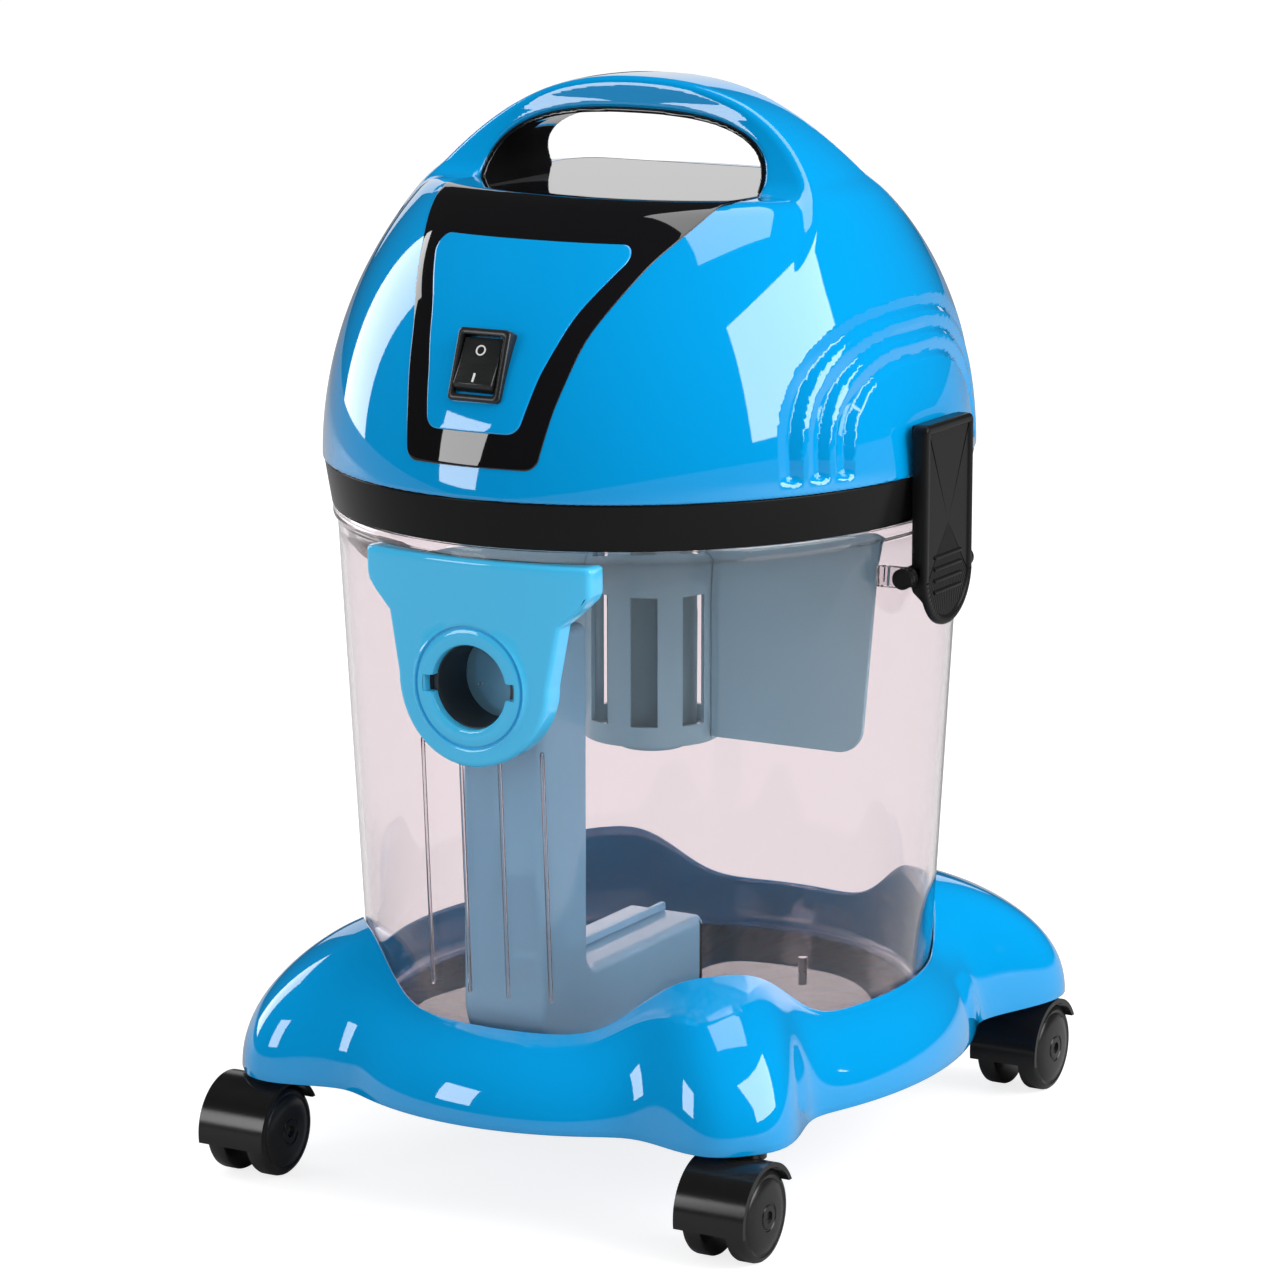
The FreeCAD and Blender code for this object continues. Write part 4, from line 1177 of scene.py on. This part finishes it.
# ------------------------------------------------------------------ inlet
@dataclass
class Inlet:
    """Shield-shaped cover with the hose bore, and the duct behind it."""

    z: float = INLET_Z
    bore: float = 18.0
    front_y: float = -156.0
    bend: float = 212.0
    count: int = 300
    duct_half: float = 20.0

    def outline(self) -> np.ndarray:
        """The cover's outline as (across, height) points."""
        round_r, round_z = 36.5, 235.5
        right = [(round_r, round_z, 0.1), (42.0, 264.0, 4.0), (52.0, 270.5, 3.0), (54.2, 276.0, 4.0),
                 (54.5, 287.6, 1.5)]
        left = [(-u, v, r) for u, v, r in reversed(right)]
        turns = np.linspace(-math.pi, 0.0, 60)[1:-1]
        bowl = [(round_r * math.cos(t), round_z + round_r * math.sin(t), 0.1) for t in turns]
        return rounded(right + left + bowl, 0.5)

    def by_angle(self, loop: np.ndarray) -> np.ndarray:
        """An outline resampled evenly by angle about the bore."""
        turn = np.linspace(-math.pi, math.pi, self.count, endpoint=False)
        off = loop - np.array([0.0, self.z])
        angle = np.arctan2(off[:, 1], off[:, 0])
        order = np.argsort(angle)
        reach = np.interp(turn, angle[order], np.hypot(off[:, 0], off[:, 1])[order], period=2.0 * math.pi)
        return np.column_stack([reach * np.cos(turn), reach * np.sin(turn) + self.z])

    def circle(self, radius: float, notch: float = 0.0) -> np.ndarray:
        """A circle about the bore, with the two bayonet notches if they are asked for."""
        turn = np.linspace(-math.pi, math.pi, self.count, endpoint=False)
        high = np.abs((radius + notch) * np.sin(turn))
        reach = radius + notch * (1.0 - smooth_step(3.6, 4.3, high))
        return np.column_stack([reach * np.cos(turn), reach * np.sin(turn) + self.z])

    def face(self, flat: np.ndarray, back: float) -> np.ndarray:
        """Lays an outline on the cover's curved front, or behind it."""
        y = self.front_y + self.bend - np.sqrt(self.bend ** 2 - flat[:, 0] ** 2) + back
        return np.column_stack([flat[:, 0], y, flat[:, 1]])

    def at_tank(self, flat: np.ndarray, gap: float) -> np.ndarray:
        """Lays an outline on the tank's skin, with a small gap."""
        return np.column_stack([flat[:, 0], oval_front(flat[:, 0], tank_half(flat[:, 1]) + gap), flat[:, 1]])

    def make_cover(self) -> None:
        """The cover."""
        loop = self.outline()
        outer = self.by_angle(loop)
        inner = self.by_angle(inset(loop, 2.4))
        rings = [self.at_tank(outer, 0.3)]
        wall_top = self.face(outer, 2.0)
        rings += [rings[0] + (wall_top - rings[0]) * t for t in (0.3, 0.65, 0.999)]
        for k in range(1, 6):
            turn = 0.1 * math.pi * k
            shrink, back = 2.0 * (1 - math.cos(turn)), 2.0 * (1 - math.sin(turn))
            rings.append(self.face(self.by_angle(inset(loop, shrink)), back))
        edge, hub = self.by_angle(inset(loop, 2.0)), self.circle(28.0)
        rings += [self.face(edge + (hub - edge) * t, 0.0) for t in (0.12, 0.3, 0.5, 0.7, 0.88, 1.0)]
        steps = [(26.6, 0.0, 0.0), (26.2, 0.3, 0.0), (26.0, 1.3, 0.0), (25.2, 1.3, 0.0), (25.0, 0.3, 0.0),
                 (24.6, 0.0, 0.0), (22.2, 0.0, 0.0), (18.9, 0.0, 3.5), (18.3, 0.25, 3.5), (18.0, 0.9, 3.5),
                 (18.0, 4.4, 3.5), (22.1, 4.6, 0.0), (22.1, 7.0, 0.0)]
        for radius, back, notch in steps:
            flat = self.circle(radius, notch)
            rings.append(np.column_stack([flat[:, 0], np.full(self.count, self.front_y + back), flat[:, 1]]))
        hub_back = self.at_tank(self.circle(22.1), 0.3)
        rings += [hub_back, self.at_tank(self.circle(27.0), 0.3), self.face(self.circle(27.2), 2.6)]
        rings += [self.face(self.circle(27.2) + (inner - self.circle(27.2)) * t, 2.6) for t in (0.5, 0.97)]
        rings.append(self.at_tank(inner, 0.3))
        cover = Mesher.skin("inlet_shield", rings, close=True, sharp=50.0)
        finish_off(cover, "cover_blue", "root", "inlet_cover")

    def duct_side(self, shrink: float) -> np.ndarray:
        """Side outline of the duct as (y, z) points."""
        i = shrink
        corners = [(-129.0 + i, 252.0 - i, 5.0), (-129.0 + i, 65.0 + i, 24.0 - i), (12.0 + i, 65.0 + i, 1.5),
                   (12.0 + i, 99.0 - i, 1.5), (-90.0 - i, 99.0 - i, 7.0), (-90.0 - i, 252.0 - i, 5.0)]
        return rounded(corners, 3.0)

    def make_duct(self) -> None:
        """The duct that turns the flow along the tank's floor."""
        base = self.duct_side(0.0)
        rings = []
        for k in range(6):
            turn = 0.1 * math.pi * k
            shrink = 4.0 * (1.0 - math.sin(turn))
            rings.append((shrink, -self.duct_half + 4.0 * (1.0 - math.cos(turn))))
        rings += [(s, -x) for s, x in reversed(rings)]
        skins = []
        for shrink, x in rings:
            flat = inset(base, shrink)
            skins.append(np.column_stack([np.full(len(flat), x), flat]))
        duct = Mesher.skin("inlet_duct", skins)
        corners = [(-88.0, 99.2, 0.4), (11.0, 99.2, 0.4), (11.0, 103.0, 1.5), (-86.0, 103.0, 1.5)]
        ridge_line = rounded(corners, 2.0)

        def place(flat: np.ndarray, height: float) -> np.ndarray:
            """Stands the ridge up along the duct's middle."""
            return np.column_stack([np.full(len(flat), height - 1.0), flat])

        ridge = Mesher.slab("ridge", ridge_line, place, 2.0, 0.5, 0.5)
        finish_off(Mesher.join("inlet_duct", [duct, ridge]), "duct_blue", "root", "downpipe")

    def make_sleeve(self) -> None:
        """Sleeve that the hose end slides into: its own dark grey, darkened further as painted shade inside the
        bore.
        """
        profile = bend_round([(17.5, -151.2), (20.0, -151.2), (20.0, -117.4), (17.5, -117.4)], 0.5)
        sleeve = Mesher.spun("hose_sleeve", profile, "y", (0.0, 0.0, self.z), count=96)
        finish_off(sleeve, "sleeve_grey", "root", "inlet_sleeve")

    def make(self) -> None:
        """Builds the inlet."""
        self.make_cover()
        self.make_duct()
        self.make_sleeve()


# ------------------------------------------------------------------ latches
@dataclass
class Latch:
    """Black side latch that hooks over the dome's ledge."""

    side: int
    low_z: float = 247.0
    high_z: float = 336.0
    half_y: float = 23.0
    inner_x: float = 139.3
    outer_x: float = 146.0
    round_r: float = 23.45

    def outline(self) -> np.ndarray:
        """Latch outline, round at the bottom and square at the top, as (y, z) points."""
        shoulder = self.low_z + 24.0
        turns = np.linspace(-math.pi, 0.0, 30)[1:-1]
        bowl = [(self.round_r * math.cos(t), shoulder - 0.4 + self.round_r * math.sin(t), 0.1) for t in turns]
        corners = [(self.half_y, shoulder, 0.1), (self.half_y, self.high_z, 3.5),
                   (-self.half_y, self.high_z, 3.5), (-self.half_y, shoulder, 0.1)]
        return rounded(corners + bowl, 1.0)

    def place(self, flat: np.ndarray, height: float) -> np.ndarray:
        """Points at a distance out from the machine's middle; the rim stops short near the lower end."""
        stop = self.inner_x + 4.4 * (1.0 - smooth_step(259.0, 266.0, flat[:, 1]))
        return np.column_stack([self.side * np.maximum(height, stop), flat])

    def make_plate(self) -> bpy.types.Object:
        """The plate with its rolled rim and sunk panel."""
        loop = self.outline()
        middle = (0.0, 292.0)
        rings = [(flat, 143.5) for flat in towards(inset(loop, 2.4), middle, 5)][::-1]
        rings += [(inset(loop, 2.4), 143.5), (inset(loop, 2.2), 139.6), (inset(loop, 1.8), self.inner_x),
                  (inset(loop, 0.4), self.inner_x), (loop, 139.8)]
        for k in range(7):
            turn = 0.5 * math.pi * k / 6
            rings.append((inset(loop, 1.5 * (1 - math.cos(turn))), self.outer_x - 1.5 * (1 - math.sin(turn))))
        rings += [(inset(loop, 3.4), self.outer_x), (inset(loop, 3.8), self.outer_x - 0.25),
                  (inset(loop, 4.2), self.outer_x - 0.8)]
        rings += [(flat, self.outer_x - 0.8) for flat in towards(inset(loop, 4.4), middle, 5)]
        return Mesher.skin("plate", layered(rings, self.place))

    def make_grip(self, z: float) -> bpy.types.Object:
        """One of the raised finger ribs."""
        def place(flat: np.ndarray, height: float) -> np.ndarray:
            """Lays the rib on the plate's face."""
            out = self.side * (self.outer_x - 1.2 + height)
            return np.column_stack([np.full(len(flat), out), flat[:, 0], flat[:, 1] + z])

        return Mesher.slab("grip", round_box(13.0, 0.9, 0.85), place, 1.2, 0.6, 0.1)

    def make_hook(self) -> bpy.types.Object:
        """The slanted hook inside the top."""
        section = np.array([(139.5, 317.5), (137.4, 329.5), (137.4, 335.0), (138.0, 335.6), (143.8, 335.6),
                            (143.8, 317.5)])
        rings = []
        for y, shrink in ((-20.0, 0.3), (-19.7, 0.0), (19.7, 0.0), (20.0, 0.3)):
            centre = section.mean(axis=0)
            flat = centre + (section - centre) * (1.0 - shrink / 6.0)
            rings.append(np.column_stack([self.side * flat[:, 0], np.full(len(flat), y), flat[:, 1]]))
        return Mesher.skin("hook", rings)

    def make_ear(self, low_y: float) -> bpy.types.Object:
        """One of the ears on the pin."""
        outline = rounded([(-4.4, -4.4, 4.3), (5.2, -4.4, 0.4), (5.2, 4.4, 0.4), (-4.4, 4.4, 4.3)], 1.2)

        def place(flat: np.ndarray, height: float) -> np.ndarray:
            """Stands the ear up across the latch pin."""
            across, up = LATCH_PIVOT_X + flat[:, 0], LATCH_PIVOT_Z + flat[:, 1]
            return np.column_stack([self.side * across, np.full(len(flat), low_y + height), up])

        return Mesher.slab("ear", outline, place, 7.8, 0.4, 0.4)

    def make(self) -> None:
        """Builds the latch."""
        name = "right" if self.side > 0 else "left"
        parts = [self.make_plate(), self.make_hook(), self.make_ear(-23.0), self.make_ear(15.2)]
        parts += [self.make_grip(262.8 + 5.0 * n) for n in range(4)]
        latch = Mesher.join("side_latch_" + name, parts)
        finish_off(latch, "satin_black", "latch_" + name, "latch_" + name)


# ------------------------------------------------------------------ base
@dataclass
class Base:
    """Blue base that the tank stands in, with a lobe over each castor."""

    low_z: float = 45.0
    half_x: float = 142.0
    half_y: float = 165.0
    seat_z: float = 59.0
    wall: float = 3.0
    count: int = 288
    castors: Tuple[Pair, ...] = ((118.8, -131.0), (-118.8, -131.0), (118.8, 151.0), (-118.8, 151.0))

    def directions(self) -> Tuple[np.ndarray, np.ndarray]:
        """Unit directions round the base, starting at the front."""
        turn = np.linspace(0.0, 2.0 * math.pi, self.count, endpoint=False)
        return np.sin(turn), -np.cos(turn)

    def lobe(self, x: np.ndarray, y: np.ndarray, width: float) -> np.ndarray:
        """How far a direction lies inside a lobe."""
        angle = np.degrees(np.arctan2(np.abs(x), np.abs(y)))
        middle = np.where(y > 0.0, 39.0, 41.5)
        return np.exp(-(np.abs(angle - middle) / width) ** 3)

    def crest(self, x: np.ndarray, y: np.ndarray) -> np.ndarray:
        """Height at which the base meets the tank."""
        return 82.0 + 25.0 * self.lobe(x, y, 17.0)

    def seat(self, x: np.ndarray, y: np.ndarray, z: np.ndarray) -> np.ndarray:
        """Distance of the tank's wall from the middle."""
        return tank_half(z) / np.hypot(x, y / OVAL)

    def outside(self, x: np.ndarray, y: np.ndarray, z: np.ndarray, shrink: float = 0.0) -> np.ndarray:
        """Distance of the base's skin from the middle."""
        oval = 1.0 / np.hypot(x / self.half_x, y / self.half_y)
        foot = oval + np.where(y > 0.0, 50.0, 36.0) * self.lobe(x, y, 11.2)
        seat = self.seat(x, y, z)
        part_up = np.clip((z + shrink - self.low_z) / (self.crest(x, y) - self.low_z), 0.0, 1.0)
        reach = seat + (foot - seat) * (1.0 - part_up ** 2.2) ** 0.8 - shrink
        return np.minimum(reach, (self.half_y - shrink) / np.maximum(np.abs(y), 1e-6))

    def ring(self, reach: np.ndarray, z: np.ndarray) -> np.ndarray:
        """Points at given distances and heights round the base."""
        x, y = self.directions()
        return np.column_stack([x * reach, y * reach, np.broadcast_to(z, x.shape)])

    def make_skin(self) -> bpy.types.Object:
        """The closed moulding: seat wall, lip, outer skin, hollow underside and floor."""
        x, y = self.directions()
        crest = self.crest(x, y)

        def inner(z: np.ndarray) -> np.ndarray:
            """Distance of the seat's face from the middle."""
            return self.seat(x, y, z) + 0.4

        def full(z: np.ndarray) -> np.ndarray:
            """Distance of the outer skin from the middle."""
            return np.maximum(self.outside(x, y, z), inner(z) + 1.3)

        def cup(z: np.ndarray) -> np.ndarray:
            """Distance of the seat wall's hidden side from the middle."""
            return self.seat(x, y, z) + 3.2

        rings = [self.ring(np.full(self.count, r), self.seat_z) for r in (1.0, 60.0, 100.0)]
        rings += [self.ring(inner(np.array(self.seat_z)) - 0.6, self.seat_z),
                  self.ring(inner(self.seat_z + 0.6), self.seat_z + 0.6)]
        for t in (0.3, 0.6, 0.9):
            z = self.seat_z + (crest - self.seat_z) * t
            rings.append(self.ring(inner(z), z))
        rings += [self.ring(inner(crest - 0.7), crest - 0.7), self.ring(inner(crest) + 0.25, crest - 0.15),
                  self.ring(inner(crest) + 0.65, crest), self.ring(inner(crest) + 1.05, crest - 0.15)]
        for t in np.linspace(0.0, 1.0, 30)[1:]:
            z = crest - 0.6 - (crest - 0.6 - self.low_z - 0.8) * (0.35 * t + 0.65 * t ** 2)
            rings.append(self.ring(full(z), z))
        low = full(np.array(self.low_z))
        lip = ((0.25, 0.2), (0.8, 0.0), (2.4, 0.0), (3.0, 0.5))
        rings += [self.ring(low - back, self.low_z + up) for back, up in lip]
        for t in (0.2, 0.45, 0.7, 0.85):
            z = self.low_z + (crest - self.low_z) * t
            rings.append(self.ring(np.maximum(self.outside(x, y, z, self.wall), cup(z) + 0.3), z))
        for t in (0.8, 0.5, 0.2):
            z = self.low_z + (crest - self.low_z) * t
            rings.append(self.ring(cup(z), z))
        rings += [self.ring(cup(self.low_z + 1.0), self.low_z + 1.0),
                  self.ring(cup(self.low_z) - 2.8, self.low_z + 1.0)]
        rings += [self.ring(cup(self.low_z) - 3.0, self.seat_z - self.wall)]
        rings += [self.ring(np.full(self.count, r), self.seat_z - self.wall) for r in (90.0, 40.0, 1.0)]
        return Mesher.skin("skin", rings)

    def make_pillar(self, x: float, y: float) -> bpy.types.Object:
        """The pillar that a castor's stem runs up into."""
        rings = []
        section = ((8.2, 62.0), (8.2, 46.0), (9.0, 45.4), (11.4, 45.4), (12.0, 46.0), (12.0, 52.0),
                   (12.0, 58.0), (12.0, 64.0), (12.0, 70.0), (1.0, 71.0))
        for radius, z in section:
            flat = ellipse(radius, radius, 48) + np.array([x, y])
            reach = np.hypot(flat[:, 0], flat[:, 1])
            limit = self.outside(flat[:, 0] / reach, flat[:, 1] / reach, np.array(max(z, 46.0)), 1.2)
            flat *= np.minimum(1.0, limit / reach)[:, None]
            rings.append(np.column_stack([flat, np.full(48, z)]))
        rings.insert(0, np.column_stack([ellipse(1.0, 1.0, 48) + np.array([x, y]), np.full(48, 62.0)]))
        return Mesher.skin("pillar", rings)

    def make_rib(self, half: float, offset: float, along_x: bool) -> bpy.types.Object:
        """A stiffening rib under the floor."""
        def place(flat: np.ndarray, height: float) -> np.ndarray:
            """Lays the rib under the floor, along one axis or the other."""
            level = self.low_z + 3.0 + height
            pair = flat if along_x else flat[:, ::-1]
            shift = np.array([0.0, offset]) if along_x else np.array([offset, 0.0])
            return np.column_stack([pair + shift, np.full(len(flat), level)])

        return Mesher.slab("rib", round_box(half, 1.25, 0.5, 4), place, 8.4, 0.1, 0.5)

    def make(self) -> None:
        """Builds the base."""
        parts = [self.make_skin()] + [self.make_pillar(x, y) for x, y in self.castors]
        parts += [self.make_rib(118.0, 0.0, True)] + [self.make_rib(108.0, x, False) for x in (-60.0, 60.0)]
        base = Mesher.join("castor_base", parts)
        finish_off(base, "blue_gloss", "root", "base_shell")


# ------------------------------------------------------------------ castors
@dataclass
class Castor:
    """Twin-wheel furniture castor."""

    name: str
    x: float
    y: float
    radius: float = 20.0
    trail: float = 9.7

    @property
    def axle(self) -> Tuple[float, float, float]:
        """Middle of the axle."""
        return (self.x, self.y - self.trail, self.radius)

    def make_wheels(self) -> None:
        """Two domed wheels with a rim groove and a hub cap."""
        profile = [(2.6, 5.6), (18.4, 5.6), (19.6, 6.1), (20.0, 7.0), (20.0, 12.6), (19.7, 13.7),
                   (19.0, 14.5), (17.4, 15.1), (16.6, 14.7), (16.2, 14.7), (15.4, 15.3), (11.0, 16.2), (6.4, 16.5),
                   (6.0, 16.1), (5.4, 16.1), (5.0, 16.6), (2.6, 16.7)]
        wheels = []
        for side in (1, -1):
            mirrored = [(r, side * w) for r, w in profile]
            wheels.append(Mesher.spun("wheel", mirrored, "x", self.axle, count=72, sharp=35.0))
        pair = Mesher.join("twin_wheels_" + self.name, wheels)
        finish_off(pair, "castor_wheel", "wheels_" + self.name, "castor_wheels_" + self.name)

    def make(self) -> None:
        """Builds the castor's own pieces; its fork, stem and axle keep their designed shape."""
        self.make_wheels()


# ------------------------------------------------------------------ pieces whose designed shape is right
class Carried:
    """Pieces that keep their designed shape and get a finish."""

    bevelled = ("castor_fork", "switch_marks", "cord_gland", "motor_cover", "fan_housing")

    @classmethod
    def dress(cls, frame: Dict[str, object]) -> None:
        """Gives every shown designed piece the finish of its slot.

        Args:
            frame: what the loader returned.
        """
        slots = {row["node"]: row["material_slot"] for row in frame["record"]["subparts"]}
        for name, piece in frame["nodes"].items():
            if piece.hide_render:
                continue
            piece.data.materials.clear()
            piece.data.materials.append(FINISHES[slots[name]].material())
            if name.startswith(cls.bevelled):
                cls.soften(piece)
            LOG.info("%s keeps its shape, finish %s", name, slots[name])

    @staticmethod
    def soften(piece: bpy.types.Object) -> None:
        """Rounds a piece's sharp edges with a small bevel."""
        bevel = piece.modifiers.new("soft_edges", "BEVEL")
        bevel.width = 0.35 * MM
        bevel.segments = 2
        bevel.limit_method = "ANGLE"
        bevel.angle_limit = math.radians(40.0)
        bevel.use_clamp_overlap = True


# ------------------------------------------------------------------ studio
@dataclass
class Studio:
    """Pale floor, soft boxes and the camera."""

    camera_place: Tuple[float, float, float] = (1.0559, -1.8733, 0.6772)
    heading: float = 29.548
    pitch: float = 11.876
    lens: float = 139.23
    floor_glow: float = 0.8
    diffuse_level: float = 0.6
    gloss_level: float = 0.02
    inside_level: float = 2.0
    lamps: Tuple[Tuple[str, Triple, Triple, Pair, float], ...] = (
        ("left_box", (-2.7, 0.2, 1.2), (0, 0, 0.25), (1.1, 1.9), 24.0),
        ("front_box", (-1.5, -2.3, 0.9), (0, 0, 0.25), (0.8, 1.0), 13.0),
        ("right_box", (2.5, 0.25, 1.5), (0, 0, 0.3), (2.1, 2.0), 70.0),
        ("top_box", (0.3, 0.5, 2.9), (0, 0, 0.2), (1.8, 1.2), 16.0),
        ("rear_box", (-1.5, 2.6, 1.1), (0, 0, 0.4), (2.4, 1.1), 6.5),
    )

    def make_floor(self) -> None:
        """Plain pale floor."""
        mesh = bpy.data.meshes.new("floor")
        mesh.from_pydata([(-40, -40, 0), (40, -40, 0), (40, 40, 0), (-40, 40, 0)], [], [(0, 1, 2, 3)])
        floor = bpy.data.objects.new("floor", mesh)
        bpy.context.scene.collection.objects.link(floor)
        paint = bpy.data.materials.new("floor_white")
        paint.use_nodes = True
        shader = paint.node_tree.nodes["Principled BSDF"]
        shader.inputs["Base Color"].default_value = (0.4, 0.4, 0.4, 1.0)
        shader.inputs["Roughness"].default_value = 0.75
        shader.inputs["Specular IOR Level"].default_value = 0.1
        shader.inputs["Emission Color"].default_value = (1.0, 1.0, 1.0, 1.0)
        tree = paint.node_tree
        path = tree.nodes.new("ShaderNodeLightPath")
        direct, through = path.outputs["Is Camera Ray"], path.outputs["Is Transmission Ray"]
        seen = Effects.math(tree, "MAXIMUM", direct, through)
        glow = Effects.math(tree, "MULTIPLY", seen, self.floor_glow)
        tree.links.new(glow, shader.inputs["Emission Strength"])
        mesh.materials.append(paint)

    @staticmethod
    def soft_box(name: str, place: Triple, aim: Triple, size: Pair, power: float) -> None:
        """A rectangular lamp that faces a point.

        Args:
            name: the lamp's name.
            place: where it stands, in metres.
            aim: the point it faces.
            size: width and height.
            power: its power in watts.
        """
        lamp = bpy.data.lights.new(name, "AREA")
        lamp.shape = "RECTANGLE"
        lamp.size, lamp.size_y = size
        lamp.energy = power
        holder = bpy.data.objects.new(name, lamp)
        holder.location = place
        holder.rotation_euler = (Vector(aim) - Vector(place)).to_track_quat("-Z", "Y").to_euler()
        bpy.context.scene.collection.objects.link(holder)

    def make_world(self) -> None:
        """White surroundings, dim in reflections for a deep gloss and bright through clear plastic."""
        world = bpy.data.worlds.new("studio")
        bpy.context.scene.world = world
        world.use_nodes = True
        tree = world.node_tree
        sky = tree.nodes["Background"]
        sky.inputs["Color"].default_value = (1.0, 1.0, 1.0, 1.0)
        path = tree.nodes.new("ShaderNodeLightPath")
        level = Effects.math(tree, "MULTIPLY_ADD", path.outputs["Is Diffuse Ray"], self.diffuse_level)
        level.node.inputs[2].default_value = self.gloss_level
        inside = Effects.math(tree, "MULTIPLY", path.outputs["Is Transmission Ray"], self.inside_level)
        level = Effects.math(tree, "MAXIMUM", level, inside)
        level = Effects.math(tree, "MAXIMUM", level, path.outputs["Is Camera Ray"])
        tree.links.new(level, sky.inputs["Strength"])

    def make_camera(self) -> None:
        """The camera."""
        data = bpy.data.cameras.new("camera")
        data.lens = self.lens
        data.sensor_width = 36.0
        camera = bpy.data.objects.new("camera", data)
        turn, dip = math.radians(self.heading), math.radians(self.pitch)
        ahead = Vector((-math.sin(turn) * math.cos(dip), math.cos(turn) * math.cos(dip), -math.sin(dip)))
        camera.location = self.camera_place
        camera.rotation_euler = ahead.to_track_quat("-Z", "Y").to_euler()
        bpy.context.scene.collection.objects.link(camera)
        bpy.context.scene.camera = camera

    def make(self) -> None:
        """Builds the studio."""
        self.make_floor()
        self.make_world()
        for lamp in self.lamps:
            self.soft_box(*lamp)
        view = bpy.context.scene.view_settings
        view.view_transform = "Standard"
        self.make_camera()


# ------------------------------------------------------------------ everything
def main() -> None:
    """Loads the frame, builds the studio and each sub-assembly in order, and logs each piece's face count."""
    logging.basicConfig(level=logging.INFO, format="%(name)s: %(message)s")
    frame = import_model()
    Studio().make()
    for assembly in (Base(), Tank(), Band(), Separator(), Inlet(), Latch(1), Latch(-1), Head(), Switch()):
        LOG.info("making %s", type(assembly).__name__)
        assembly.make()
    corners = ("front_right", "front_left", "rear_right", "rear_left")
    for name, (x, y) in zip(corners, Base().castors):
        Castor(name, x, y).make()
    Carried.dress(frame)


if __name__ == "__main__":
    main()
